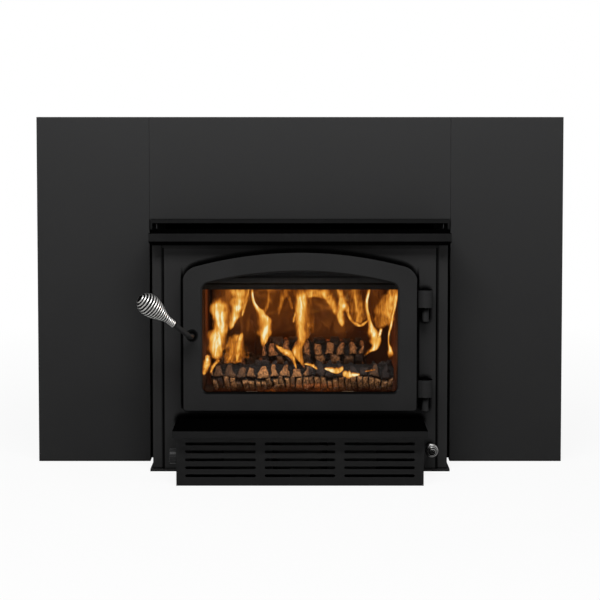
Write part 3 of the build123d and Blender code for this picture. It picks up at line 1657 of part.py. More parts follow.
# Ember bed on the floor bricks, hollowed where the logs lie in it
ember_front = brick_front + ember_front_gap
ember_back = rear_log_y + rear_log["radius"] + ember_behind_log

with BuildPart() as ember_bed:
    with BuildSketch(Plane.XY.offset(brick_floor_top)):
        with Locations((0, (ember_front + ember_back) / 2)):
            RectangleRounded(ember_width, ember_back - ember_front, ember_corner)
    extrude(amount=ember_depth, taper=ember_slope)
    for centre_y, centre_z, size in (
        (front_log_y, front_log_z, front_log),
        (rear_log_y, rear_log_z, rear_log),
    ):
        with BuildSketch(Plane.YZ.offset(-ember_width)):
            with Locations((centre_y, centre_z)):
                Circle(size["radius"] + log_clearance)
        extrude(amount=2 * ember_width, mode=Mode.SUBTRACT)
ember_bed.part.label = "ember_bed"
export_step(ember_bed.part, "parts/ember_bed.step")
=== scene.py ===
import bpy
import math
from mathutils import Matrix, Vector, noise


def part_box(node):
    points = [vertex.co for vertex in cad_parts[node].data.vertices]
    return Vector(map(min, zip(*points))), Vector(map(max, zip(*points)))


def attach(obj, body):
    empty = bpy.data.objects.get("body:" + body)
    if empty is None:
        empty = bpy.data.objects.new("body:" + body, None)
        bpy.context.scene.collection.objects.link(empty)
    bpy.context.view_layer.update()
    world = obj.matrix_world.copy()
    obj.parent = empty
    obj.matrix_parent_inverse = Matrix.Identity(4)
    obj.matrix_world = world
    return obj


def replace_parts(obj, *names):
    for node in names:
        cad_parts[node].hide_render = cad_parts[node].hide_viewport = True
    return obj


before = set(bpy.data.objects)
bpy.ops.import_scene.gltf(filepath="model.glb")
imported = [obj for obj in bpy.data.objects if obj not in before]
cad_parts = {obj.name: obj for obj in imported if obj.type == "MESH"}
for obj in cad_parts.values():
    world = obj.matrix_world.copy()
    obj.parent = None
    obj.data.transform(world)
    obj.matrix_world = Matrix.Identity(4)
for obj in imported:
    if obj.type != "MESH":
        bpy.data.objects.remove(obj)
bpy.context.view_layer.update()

# Fireplace insert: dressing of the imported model, in metres, front towards -Y
bpy.ops.object.select_all(action="DESELECT")
print("frame loaded:", len(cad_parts), "nodes")


# view and light
cameraView = {
    "place": (0.0, -3.119, 0.7425),
    "tilt": 2.70,        # degrees down
    "lens": 87.5,
    "shift": -0.195,
}
bpy.ops.object.camera_add(
    location=cameraView["place"],
    rotation=(math.radians(90 - cameraView["tilt"]), 0, 0),
)
camera = bpy.context.object
camera.name = "camera"
camera.data.lens = cameraView["lens"]
camera.data.sensor_width = 36
camera.data.shift_y = cameraView["shift"]
camera.data.clip_end = 60
bpy.context.scene.camera = camera
bpy.context.scene.view_settings.view_transform = "Standard"

lamps = {
    "frontTop": {"place": (-0.1, -1.45, 2.15), "aim": (0, 0, 0.62), "size": (2.4, 0.7), "watts": 78},
    "sideSoft": {"place": (2.6, -2.6, 1.6), "aim": (0, 0, 0.45), "size": (1.2, 1.2), "watts": 9},
    "backSoft": {"place": (-2.4, 2.8, 2.4), "aim": (0, 0, 0.3), "size": (2.0, 2.0), "watts": 36},
}
for lampName, lamp in lamps.items():
    way = Vector(lamp["aim"]) - Vector(lamp["place"])
    bpy.ops.object.light_add(
        type="AREA", location=lamp["place"], rotation=way.to_track_quat("-Z", "Y").to_euler()
    )
    light = bpy.context.object
    light.name = lampName
    light.data.shape = "RECTANGLE"
    light.data.size, light.data.size_y = lamp["size"]
    light.data.energy = lamp["watts"]

fireFront = {"radius": 0.03, "colour": (1.0, 0.50, 0.20)}
fireLamps = {
    "fireHeart": {"place": (0.0, 0.120, 0.340), "watts": 1.0, "radius": 0.06, "colour": (1.0, 0.27, 0.05)},
    "fireFrontLeft": {"place": (-0.125, -0.085, 0.300), "watts": 0.135, **fireFront},
    "fireFrontMiddle": {"place": (0.0, -0.085, 0.300), "watts": 0.085, **fireFront},
    "fireFrontRight": {"place": (0.125, -0.085, 0.300), "watts": 0.05, **fireFront},
}
for lampName, lamp in fireLamps.items():
    bpy.ops.object.light_add(type="POINT", location=lamp["place"])
    light = bpy.context.object
    light.name = lampName
    light.data.energy = lamp["watts"]
    light.data.color = lamp["colour"]
    light.data.shadow_soft_size = lamp["radius"]

surround = {"lighting": 0.14, "background": 1.0}
world = bpy.data.worlds.new("paleSurround")
bpy.context.scene.world = world
world.use_nodes = True
tree = world.node_tree
background = tree.nodes["Background"]
# the camera, gloss and glass see the background, and all else is lit by the dimmer level
seen = tree.nodes.new("ShaderNodeLightPath")
shows = seen.outputs["Is Camera Ray"]
for rayKind in ("Is Glossy Ray", "Is Transmission Ray"):
    either = tree.nodes.new("ShaderNodeMath")
    either.operation = "MAXIMUM"
    tree.links.new(shows, either.inputs[0])
    tree.links.new(seen.outputs[rayKind], either.inputs[1])
    shows = either.outputs[0]
level = tree.nodes.new("ShaderNodeMapRange")
level.inputs["To Min"].default_value = surround["lighting"]
level.inputs["To Max"].default_value = surround["background"]
tree.links.new(shows, level.inputs["Value"])
tree.links.new(level.outputs["Result"], background.inputs["Strength"])
background.inputs["Color"].default_value = (1, 1, 1, 1)
print("camera and lamps placed")


# shader helpers
class Wire:
    # one socket of a material, so that shader maths reads as sums
    def __init__(self, socket):
        self.socket = socket

    def maths(self, operation, first, second, clamp=False):
        node = self.socket.id_data.nodes.new("ShaderNodeMath")
        node.operation = operation
        node.use_clamp = clamp
        for entry, value in zip(node.inputs, (first, second)):
            if isinstance(value, Wire):
                self.socket.id_data.links.new(value.socket, entry)
            else:
                entry.default_value = value
        return Wire(node.outputs[0])

    def __add__(self, other):
        return self.maths("ADD", self, other)

    def __radd__(self, other):
        return self.maths("ADD", other, self)

    def __sub__(self, other):
        return self.maths("SUBTRACT", self, other)

    def __rsub__(self, other):
        return self.maths("SUBTRACT", other, self)

    def __mul__(self, other):
        return self.maths("MULTIPLY", self, other)

    def __rmul__(self, other):
        return self.maths("MULTIPLY", other, self)

    def __pow__(self, other):
        return self.maths("POWER", self, other)

    def size(self):
        return self.maths("ABSOLUTE", self, 0.0)

    def held(self):
        return self.maths("ADD", self, 0.0, clamp=True)


class Finish:
    # a material under construction: one Principled shader and what feeds it
    def __init__(self, name):
        self.material = bpy.data.materials.new(name)
        self.material.use_nodes = True
        self.tree = self.material.node_tree
        self.shader = self.tree.nodes["Principled BSDF"]
        self.place = self.node("TexCoord", out="Object")

    def node(self, kind, settings=None, sockets=None, out=0):
        node = self.tree.nodes.new("ShaderNode" + kind)
        for key, value in (settings or {}).items():
            if key == "stops":
                ramp = node.color_ramp
                ramp.elements.remove(ramp.elements[1])
                ramp.elements[0].position = value[0][0]
                ramp.elements[0].color = (*value[0][1], 1)
                for position, colour in value[1:]:
                    ramp.elements.new(position).color = (*colour, 1)
            else:
                setattr(node, key, value)
        for key, value in (sockets or {}).items():
            self.feed(node.inputs[key], value)
        return Wire(node.outputs[out])

    def feed(self, entry, value):
        if isinstance(value, Wire):
            self.tree.links.new(value.socket, entry)
        else:
            entry.default_value = value

    def speckle(self, scale, detail=2.0, roughness=0.5, stretch=None, distortion=0.0):
        where = self.place
        if stretch:
            where = self.node("Mapping", sockets={"Vector": where, "Scale": stretch})
        return self.node(
            "TexNoise",
            sockets={
                "Vector": where, "Scale": scale, "Detail": detail,
                "Roughness": roughness, "Distortion": distortion,
            },
        )

    def spread(self, value, low, high, outLow=0.0, outHigh=1.0):
        return self.node(
            "MapRange", {"clamp": True},
            {"Value": value, "From Min": low, "From Max": high, "To Min": outLow, "To Max": outHigh},
        )

    def blendColour(self, factor, first, second):
        colours = [c if isinstance(c, Wire) else (*c, 1) for c in (first, second)]
        return self.node(
            "Mix", {"data_type": "RGBA"}, {0: factor, 6: colours[0], 7: colours[1]}, out=2
        )

    def bump(self, height, distance, strength=1.0, rounding=0.0):
        sockets = {"Height": height, "Distance": distance, "Strength": strength}
        if rounding:
            sockets["Normal"] = self.node("Bevel", {"samples": 4}, {"Radius": rounding})
        return self.node("Bump", sockets=sockets)

    def open(self, reach, power):
        # 1 on open faces, falling to 0 in joints, gaps and corners; used to paint shade there
        return self.node("AmbientOcclusion", {"samples": 8}, {"Distance": reach}, out="AO") ** power

    def across(self, axis):
        return self.node("SeparateXYZ", sockets={0: self.place}, out=axis)

    def facing(self, axis):
        # how far a face looks along that axis of the object
        return self.node("SeparateXYZ", sockets={0: self.node("TexCoord", out="Normal")}, out=axis)

    def painted(self, attributeName):
        # the three channels of a colour that is kept on the mesh
        colour = self.node("Attribute", {"attribute_name": attributeName}, out="Color")
        split = self.node("SeparateColor", sockets={0: colour})
        return [Wire(channel) for channel in split.socket.node.outputs]

    def done(self, **sockets):
        for key, value in sockets.items():
            name = {
                "colour": "Base Color", "roughness": "Roughness", "metallic": "Metallic",
                "normal": "Normal", "alpha": "Alpha", "glow": "Emission Color",
                "glowStrength": "Emission Strength", "shine": "Specular IOR Level",
                "sheen": "Sheen Weight",
            }[key]
            if isinstance(value, tuple):
                value = (*value, 1)
            self.feed(self.shader.inputs[name], value)
        return self.material


# finishes of the metal parts
plainPaint = {"paintedContactShade": (0.009, 2.6), "rounding": 0.0}      # reach in metres and strength of the shade painted into joints
# the black of painted shade
pitch = (0.0005, 0.0005, 0.0005)
edgeSoft = {"side": 0.0008, "foot": 0.003, "top": 0.02}      # how softly the painted shadow down the door's edges starts


def scaled(colour, factor):
    return tuple(channel * factor for channel in colour)


def unshaded(finish, paint):
    # painted shade: 1 on open paint, falling to 0 where shade is painted in joints, along the seams and down
    # the door's edges
    outsidePaintedShade = finish.open(*paint["paintedContactShade"])
    # painted shadow: a black line is painted along the seam, at that distance from the middle
    if "seam" in paint:
        middle, half = paint["seam"]
        off = (finish.across(0).size() - middle).size()
        outsidePaintedShade = outsidePaintedShade * finish.spread(off, half * 0.5, half * 1.5)
    if "paintedEdgeShadow" in paint:
        # painted shadow: the dark line painted down both long edges of the door, on faces that look forward
        inner, outer, foot, top = paint["paintedEdgeShadow"]
        aside, height = finish.across(0).size(), finish.across(2)
        band = finish.spread(aside, inner - edgeSoft["side"], inner)
        band = band * (1 - finish.spread(aside, outer, outer + edgeSoft["side"]))
        band = band * finish.spread(height, foot, foot + edgeSoft["foot"])
        band = band * (1 - finish.spread(height, top - edgeSoft["top"], top))
        outsidePaintedShade = outsidePaintedShade * (1 - band * (1 - finish.spread(finish.facing(1), -0.6, -0.3)))
    if "litFrom" in paint:
        # painted light: the strip under the ledge is lifted out of the painted shade
        foot, top, least = paint["litFrom"]
        outsidePaintedShade = (outsidePaintedShade + finish.spread(finish.across(2), foot, top, 0.0, least)).held()
    return outsidePaintedShade


def stovePaint(name, paint):
    finish = Finish(name)
    paint = {**plainPaint, **paint}
    colour = paint["colour"]
    cloudy = finish.speckle(9.0, 3.0)
    fine = finish.speckle(paint["grain"], 2.0, 0.6)
    patchy = finish.spread(cloudy, 0.3, 0.7)
    if "fade" in paint:
        # painted light: paler towards the top, where the light falls, and lifted where the ledge and the lip
        # shade the parts below
        height = finish.spread(finish.across(2), *paint["fadeFrom"])
        shade = finish.blendColour(height, *[scaled(colour, factor) for factor in paint["fade"]])
        shade = finish.blendColour(patchy * 0.06, shade, (0.03, 0.03, 0.03))
    else:
        dust = finish.spread(finish.speckle(60.0, 4.0), 0.55, 0.85)
        shade = finish.blendColour(patchy, scaled(colour, 0.94), scaled(colour, 1.06))
        shade = finish.blendColour(dust * 0.04, shade, (0.05, 0.049, 0.047))
    outsidePaintedShade = unshaded(finish, paint)
    # painted shade: where the mask falls to 0 the colour is painted black
    shade = finish.blendColour(outsidePaintedShade, pitch, shade)
    if "paintedTopShadeFrom" in paint:
        # painted shade: faces that look up are painted deep black
        shade = finish.blendColour(finish.spread(finish.facing(2), *paint["paintedTopShadeFrom"]), shade, pitch)
    if "paintedUnderShade" in paint:
        # painted shade: below these heights the part is painted black, as if its lower edge were rolled
        # under and turned away from the light
        shade = finish.blendColour(finish.spread(finish.across(2), *paint["paintedUnderShade"]), pitch, shade)
    # where shade is painted the paint is also made metallic, so its black loses the sheen as well
    return finish.done(
        colour=shade, metallic=1 - outsidePaintedShade if paint["shine"] else 0.0,
        roughness=finish.spread(cloudy + fine * 0.5, 0.5, 1.0, paint["gloss"] - 0.04, paint["gloss"] + 0.06),
        normal=finish.bump(fine, 0.00006, 0.5, paint["rounding"]),
        shine=paint["shine"],
    )


def sheetSteel(name, colour, gloss, stretch, metallic=1.0):
    finish = Finish(name)
    brushed = finish.speckle(40.0, 4.0, 0.7, stretch)
    blotch = finish.speckle(14.0, 3.0)
    shade = finish.blendColour(finish.spread(blotch, 0.35, 0.7), scaled(colour, 0.75), scaled(colour, 1.15))
    return finish.done(
        colour=shade, metallic=metallic,
        roughness=finish.spread(brushed, 0.3, 0.7, gloss - 0.08, gloss + 0.1),
        normal=finish.bump(brushed, 0.00004, 0.4),
    )


def galvanisedSheet():
    finish = Finish("galvanisedSheet")
    spangle = finish.node(
        "TexVoronoi", {"feature": "F1"}, {"Vector": finish.place, "Scale": 135.0}, out="Color"
    )
    flake = finish.node("SeparateColor", sockets={0: spangle})
    cloudy = finish.speckle(7.0, 3.0)
    soft = finish.speckle(55.0, 4.0, 0.6)
    shade = finish.blendColour(flake * 0.6 + soft * 0.4, (0.28, 0.285, 0.29), (0.40, 0.405, 0.41))
    aged = finish.blendColour(finish.spread(cloudy, 0.5, 0.8) * 0.4, shade, (0.25, 0.24, 0.225))
    # painted shade: the sheet is painted black near its front, so the outlet slot above the ledge reads as
    # shade
    paintedSlotShade = 1 - finish.spread(finish.across(1) + cloudy * 0.05, 0.22, 0.29)
    return finish.done(
        colour=finish.blendColour(paintedSlotShade, aged, (0.006, 0.006, 0.006)),
        metallic=0.45 - paintedSlotShade * 0.45, roughness=finish.spread(flake, 0.0, 1.0, 0.62, 0.78),
        normal=finish.bump(cloudy, 0.0002, 0.2), shine=0.0,
    )


def heatTinted():
    finish = Finish("heatTintedSteel")
    cloudy = finish.speckle(11.0, 4.0)
    line = finish.speckle(60.0, 3.0, 0.6, (0.1, 1, 1))
    shade = finish.node(
        "ValToRGB",
        {"stops": [(0.30, (0.10, 0.085, 0.075)), (0.5, (0.17, 0.12, 0.08)), (0.7, (0.12, 0.10, 0.12))]},
        {"Fac": cloudy},
    )
    return finish.done(
        colour=shade, metallic=0.8, roughness=finish.spread(line, 0.3, 0.7, 0.42, 0.6),
        normal=finish.bump(line, 0.00005, 0.4),
    )


def nickelWire(name, bright, wearAndPaintedLight):
    finish = Finish(name)
    drawn = finish.speckle(900.0, 2.0)
    dull = finish.speckle(120.0, 3.0)
    shade = finish.blendColour(finish.spread(dull, 0.4, 0.8), bright, wearAndPaintedLight)
    # painted shade: the wire is painted near-black where other turns crowd it
    paintedGapShade = finish.spread(finish.open(0.030, 1.0), 0.42, 0.74)
    shade = finish.blendColour(paintedGapShade, (0.006, 0.006, 0.007), shade)
    # painted shade: the side of the wire that looks into the grip is painted dark
    shade = finish.blendColour(finish.painted("inward")[0], shade, (0.002, 0.002, 0.002))
    return finish.done(
        colour=shade, metallic=1.0, roughness=finish.spread(dull + drawn * 0.3, 0.4, 0.9, 0.26, 0.42),
        normal=finish.bump(drawn, 0.00002, 0.4),
    )


def zincHardware():
    finish = Finish("zincHardware")
    dull = finish.speckle(180.0, 3.0)
    shade = finish.blendColour(finish.spread(dull, 0.35, 0.7), (0.55, 0.54, 0.50), (0.42, 0.41, 0.39))
    return finish.done(
        colour=shade, metallic=1.0, roughness=finish.spread(dull, 0.3, 0.7, 0.28, 0.45),
        normal=finish.bump(finish.speckle(700.0), 0.00003, 0.4),
    )


# finishes of the lining, glass, fibre and plastic
def firebrick():
    finish = Finish("firebrick")
    sand = finish.speckle(420.0, 4.0, 0.7)
    pits = finish.node(
        "TexVoronoi", {"feature": "F1"}, {"Vector": finish.place, "Scale": 240.0}, out="Distance"
    )
    smoke = finish.spread(finish.speckle(7.0, 5.0, 0.6), 0.35, 0.6)
    body = finish.blendColour(finish.spread(sand, 0.35, 0.7), (0.30, 0.17, 0.10), (0.44, 0.28, 0.17))
    sooted = finish.blendColour(smoke * 0.35 + 0.62, body, (0.022, 0.010, 0.006))
    return finish.done(
        colour=sooted, roughness=finish.spread(sand, 0.3, 0.7, 0.82, 0.97),
        normal=finish.bump(sand + finish.spread(pits, 0.0, 0.25), 0.0006, 0.6),
        shine=0.2,
    )


def baffleBoard():
    finish = Finish("baffleBoard")
    fibre = finish.speckle(300.0, 4.0, 0.7, (1, 0.3, 1))
    smoke = finish.spread(finish.speckle(6.0, 4.0), 0.4, 0.7)
    shade = finish.blendColour(fibre, (0.50, 0.43, 0.34), (0.66, 0.60, 0.50))
    return finish.done(
        colour=finish.blendColour(smoke * 0.6, shade, (0.10, 0.08, 0.07)),
        roughness=finish.spread(fibre, 0.3, 0.7, 0.85, 0.98), normal=finish.bump(fibre, 0.0004, 0.5),
    )


def mineralFibre(name, colour, braid, fluffColour=(0.12, 0.11, 0.10), sheen=0.3, shine=0.1):
    finish = Finish(name)
    strand = finish.node(
        "TexWave", {"wave_type": "BANDS", "bands_direction": "DIAGONAL"},
        {"Vector": finish.place, "Scale": braid, "Distortion": 2.0, "Detail": 2.0, "Detail Scale": 2.0},
    )
    fluff = finish.speckle(700.0, 4.0, 0.7)
    shade = finish.blendColour(strand, scaled(colour, 0.55), colour)
    return finish.done(
        colour=finish.blendColour(fluff * 0.35, shade, fluffColour), roughness=0.95,
        normal=finish.bump(strand + fluff * 0.6, 0.0007, 0.8), sheen=sheen, shine=shine,
    )


def ceramicGlass():
    finish = Finish("ceramicGlass")
    film = finish.speckle(5.0, 4.0, 0.6)
    return finish.done(
        colour=(0.012, 0.009, 0.006), roughness=finish.spread(film, 0.3, 0.8, 0.03, 0.10),
        alpha=finish.spread(film, 0.35, 0.75, 0.05, 0.09), shine=0.5,
    )


def mouldedPlastic(name, colour, gloss, grain):
    finish = Finish(name)
    skin = finish.speckle(grain, 3.0)
    cloudy = finish.spread(finish.speckle(40.0, 3.0), 0.4, 0.7)
    shade = finish.blendColour(cloudy, colour, scaled(colour, 1.5))
    return finish.done(
        colour=shade, roughness=finish.spread(skin, 0.3, 0.7, gloss - 0.05, gloss + 0.08),
        normal=finish.bump(skin, 0.00008, 0.5), shine=0.22,
    )


# heights in metres: where the painted light rises and where the painted black under-band ends, the first two
# of litFrom and the last two of the painted edge shadow
# distances from the middle in metres: the first two of the painted edge shadow, and the painted seam shadow
# as place and half width
# painted shade comes from the contact, seam, edge, top and under entries; painted light from fade and
# litFrom
paints = {
    "sheetPaint": {"colour": (0.0172, 0.0173, 0.0175), "gloss": 0.62, "grain": 1500.0, "shine": 0.10,
                   "paintedContactShade": (0.005, 2.6), "fade": (0.74, 1.15), "fadeFrom": (0.0, 0.74)},
    "bodyPaint": {"colour": (0.0145, 0.0145, 0.0146), "gloss": 0.58, "grain": 1400.0, "shine": 0.10,
                  "paintedContactShade": (0.011, 9.0), "seam": (0.2831, 0.0018), "litFrom": (0.4650, 0.4680, 0.5),
                  "fade": (1.0, 1.8), "fadeFrom": (0.445, 0.466),
                  "paintedEdgeShadow": (0.2425, 0.2462, 0.131, 0.428), "rounding": 0.0008},
    "casingPaint": {"colour": (0.0145, 0.0145, 0.0146), "gloss": 0.58, "grain": 1400.0, "shine": 0.10,
                    "paintedContactShade": (0.004, 3.0), "fade": (1.0, 1.5), "fadeFrom": (0.445, 0.466),
                    "rounding": 0.0008},
    "rodPaint": {"colour": (0.0150, 0.0150, 0.0150), "gloss": 0.5, "grain": 700.0, "shine": 0.06,
                 "paintedContactShade": (0.014, 5.0)},
    "castPaint": {"colour": (0.0198, 0.0198, 0.0199), "gloss": 0.56, "grain": 700.0, "shine": 0.0,
                  "paintedTopShadeFrom": (0.35, 0.75), "paintedEdgeShadow": (0.2392, 0.2416, 0.131, 0.428), "rounding": 0.0012},
    "ledgePaint": {"colour": (0.0098, 0.0098, 0.0099), "gloss": 0.60, "grain": 1400.0, "shine": 0.0,
                   "paintedTopShadeFrom": (0.6, 0.9), "paintedUnderShade": (0.4812, 0.4825), "rounding": 0.0012},
    "lipPaint": {"colour": (0.0122, 0.0122, 0.0123), "gloss": 0.60, "grain": 1400.0, "shine": 0.0,
                 "paintedTopShadeFrom": (0.6, 0.9), "paintedContactShade": (0.006, 2.6), "rounding": 0.0008},
    "grillePaint": {"colour": (0.0135, 0.0135, 0.0136), "gloss": 0.62, "grain": 1400.0, "shine": 0.0,
                    "paintedContactShade": (0.004, 1.2), "fade": (0.95, 2.3), "fadeFrom": (0.045, 0.098)},
    "shroudPaint": {"colour": (0.022, 0.022, 0.022), "gloss": 0.6, "grain": 900.0, "shine": 0.04},
    "collarPaint": {"colour": (0.012, 0.012, 0.012), "gloss": 0.6, "grain": 900.0, "shine": 0.0,
                    "paintedUnderShade": (0.522, 0.528)},
    "innerBlack": {"colour": (0.003, 0.003, 0.003), "gloss": 0.8, "grain": 900.0, "shine": 0.0},
}


def sootedPlate():
    # bare steel under a coat of soot, with faint runs down it
    finish = Finish("sootedPlate")
    run = finish.speckle(70.0, 4.0, 0.6, (1, 1, 0.12))
    cloudy = finish.speckle(16.0, 3.0)
    shade = finish.blendColour(run, (0.018, 0.019, 0.020), (0.034, 0.036, 0.038))
    shade = finish.blendColour(finish.spread(cloudy, 0.4, 0.8) * 0.3, shade, (0.020, 0.020, 0.020))
    # painted light: the plate is painted paler above its fold, most of all in the middle; painted shade: the
    # fold is painted black
    height = finish.across(2)
    wearAndPaintedLight = (1 - finish.spread(height, 0.396, 0.413)) * finish.spread(height, 0.390, 0.391)
    wearAndPaintedLight = wearAndPaintedLight * finish.spread(finish.across(0).size(), 0.02, 0.21, 1.0, 0.10)
    shade = finish.blendColour(wearAndPaintedLight, shade, (0.066, 0.064, 0.062))
    paintedFoldShade = finish.spread((height - 0.3896).size(), 0.0015, 0.0023)
    return finish.done(
        colour=finish.blendColour(paintedFoldShade, pitch, shade),
        roughness=finish.spread(run, 0.3, 0.7, 0.7, 0.9), normal=finish.bump(run, 0.0001, 0.5), shine=0.0,
    )


finishes = {paintName: stovePaint(paintName, paint) for paintName, paint in paints.items()}
finishes.update({
    "soot": sootedPlate(),
    "galvanised": galvanisedSheet(),
    "zinc": zincHardware(),
    "boxSteel": sheetSteel("boxSteel", (0.10, 0.092, 0.085), 0.6, (1, 1, 0.2), 0.5),
    "stainless": heatTinted(),
    "board": baffleBoard(),
    "rope": mineralFibre("ropeFibre", (0.50, 0.48, 0.45), 90.0),
    "blanket": mineralFibre("blanketFibre", (0.72, 0.70, 0.66), 25.0),
    "packing": mineralFibre(
        "blackPacking", (0.0010, 0.0010, 0.0010), 120.0, (0.0022, 0.0022, 0.0022), 0.0, 0.0
    ),
    "brick": firebrick(),
    "glass": ceramicGlass(),
    "gripWire": nickelWire("gripWire", (0.62, 0.615, 0.60), (0.47, 0.46, 0.44)),
    "knobWire": nickelWire("knobWire", (0.36, 0.355, 0.35), (0.26, 0.255, 0.25)),
    "plastic": mouldedPlastic("controlPlastic", (0.0065, 0.0065, 0.0068), 0.42, 900.0),
    "rubber": mouldedPlastic("glandRubber", (0.022, 0.022, 0.022), 0.62, 600.0),
    "aluminium": sheetSteel("fanAluminium", (0.60, 0.60, 0.61), 0.35, (0.1, 1, 1)),
})
nodeFinish = {
    "sheetPaint": ["faceplate_left", "faceplate_right", "faceplate_top"],
    "ledgePaint": ["top_ledge", "outlet_frame"],
    "soot": ["wash_deflector"],
    "bodyPaint": ["front_plate", "hinge_posts"],
    "casingPaint": ["casing_left", "casing_right", "base_plate"],
    "rodPaint": ["handle_rod"],
    "lipPaint": ["ash_lip", "blower_case"],
    "grillePaint": ["blower_grille"],
    "castPaint": ["door_frame"],
    # painted shade: the firebox roof is painted black, so nothing lit shows through the outlet slot
    "innerBlack": ["handle_bushing", "firebox_roof"],
    "shroudPaint": ["fan_scrolls", "motor_saddle", "blower_motor"],
    "collarPaint": ["flue_collar"],
    "galvanised": ["casing_back", "casing_lid", "faceplate_brackets"],
    "zinc": ["faceplate_bolts", "thermal_switch", "hinge_pins", "latch_catch",
             "glass_clips", "clip_screws", "latch_cam", "air_rod", "fan_shaft"],
    "boxSteel": ["firebox_left", "firebox_right", "firebox_rear", "firebox_floor",
                 "firebox_feet", "tube_rails", "air_duct", "air_risers", "air_damper"],
    "stainless": ["air_tubes"],
    "board": ["baffle_boards"],
    "blanket": ["baffle_blanket"],
    "rope": ["glass_tape", "door_rope"],
    "brick": ["bricks_floor", "bricks_walls"],
    "glass": ["door_glass"],
    "gripWire": ["handle_grip"],
    "knobWire": ["air_knob"],
    "plastic": ["speed_control", "speed_knob"],
    "rubber": ["cord_gland"],
    "aluminium": ["fan_wheels"],
}


def dress(piece, finishName):
    piece.data.materials.clear()
    piece.data.materials.append(finishes[finishName])


for finishName, nodeNames in nodeFinish.items():
    for nodeName in nodeNames:
        dress(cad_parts[nodeName], finishName)
print("finishes on the metal, lining, glass and controls")


# modelling helpers
def deselect():
    bpy.ops.object.select_all(action="DESELECT")


def clamp(value):
    return min(1.0, max(0.0, value))


def wave(seed, height, *place):
    # smooth noise of that height
    return height * noise.noise(seed + Vector(place))


def pointColour(piece, attributeName):
    return piece.data.color_attributes.new(name=attributeName, type="FLOAT_COLOR", domain="POINT")


def evenMesh(piece, step):
    # the primitive's place goes into its mesh, which is then cut into even faces
    bpy.ops.object.transform_apply(location=True, rotation=True, scale=True)
    remesh = piece.modifiers.new("even", "REMESH")
    remesh.mode = "VOXEL"
    remesh.voxel_size = step
    bpy.ops.object.modifier_apply(modifier=remesh.name)


# painted shade: a near-black fibre strip packed between the casing and the panels' folds, standing in for
# the shadow in that gap
def sideSeal(name, seal, hand):
    deselect()
    half = (seal["outer"] - seal["inner"]) / 2
    bpy.ops.mesh.primitive_cube_add(
        size=1, location=(hand * (seal["inner"] + half), seal["depth"], (seal["foot"] + seal["top"]) / 2),
        scale=(half * 2, seal["thick"], seal["top"] - seal["foot"]),
    )
    piece = bpy.context.object
    piece.name = name
    bpy.ops.object.transform_apply(location=True, rotation=True, scale=True)
    bpy.ops.object.mode_set(mode="EDIT")
    bpy.ops.mesh.subdivide(number_cuts=seal["cuts"])
    bpy.ops.mesh.bevel(offset=seal["round"], segments=3, affect="EDGES")
    bpy.ops.object.mode_set(mode="OBJECT")
    bpy.ops.object.shade_smooth_by_angle(angle=math.radians(40))
    dress(piece, "packing")
    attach(piece, "root")


seal = {"inner": 0.3063, "outer": 0.3201, "depth": -0.011, "thick": 0.018,
        "foot": 0.006, "top": 0.5184, "round": 0.002, "cuts": 2}
sideSeal("sealLeft", seal, -1)
sideSeal("sealRight", seal, 1)
print("side gaps packed")


# wound wire grips, in millimetres from the start of their neck
winding = {"perTurn": 20, "outlineSteps": 48, "knotsPerPoint": 2, "roundness": 4,
           "darkFrom": 0.42, "darkOver": 0.35}


def perpendicular(way):
    side = way.cross(Vector((0, 0, 1))).normalized()
    return side, way.cross(side).normalized()


def pearOutline(grip):
    # radius and height up the pear-shaped body, past its belly and over the cap at the tip
    foot, steps = grip["neckTurns"] * grip["neckPitch"], winding["outlineSteps"]
    outline = []
    for i in range(steps + 1):
        swell = (1 - math.cos(math.pi * i / steps)) / 4 + math.sin(math.pi * i / (2 * steps)) / 2
        radius = grip["neck"] + (grip["belly"] - grip["neck"]) * swell
        outline.append((radius, foot + grip["flare"] * i / steps))
    last = math.acos(grip["end"] / grip["belly"])
    for i in range(1, steps + 1):
        angle = last * i / steps
        height = foot + grip["flare"] + grip["cap"] * math.sin(angle)
        outline.append((grip["belly"] * math.cos(angle), height))
    return outline


def upOutline(outline, runs, left):
    # radius and height at that length along the outline
    i = 0
    while i < len(runs) - 1 and left > runs[i]:
        left -= runs[i]
        i += 1
    return [a + (b - a) * left / runs[i] for a, b in zip(outline[i], outline[i + 1])]


def wirePoints(grip, way):
    # the wire's centre line: close turns round the neck, then turns spread evenly over the body
    side, up = perpendicular(way)
    outline = pearOutline(grip)
    runs = [math.dist(a, b) for a, b in zip(outline, outline[1:])]
    total = sum(runs)
    points = []
    for step in range(int(winding["perTurn"] * (grip["neckTurns"] + grip["bodyTurns"])) + 1):
        turn = step / winding["perTurn"]
        if turn <= grip["neckTurns"]:
            radius, height = grip["neck"], turn * grip["neckPitch"]
        else:
            share = (turn - grip["neckTurns"]) / grip["bodyTurns"]
            radius, height = upOutline(outline, runs, total * share)
        angle = 2 * math.pi * turn
        spot = side * (radius * math.cos(angle)) + up * (radius * math.sin(angle)) + way * height
        points.append(Vector(grip["start"]) + spot * 0.001)
    return points


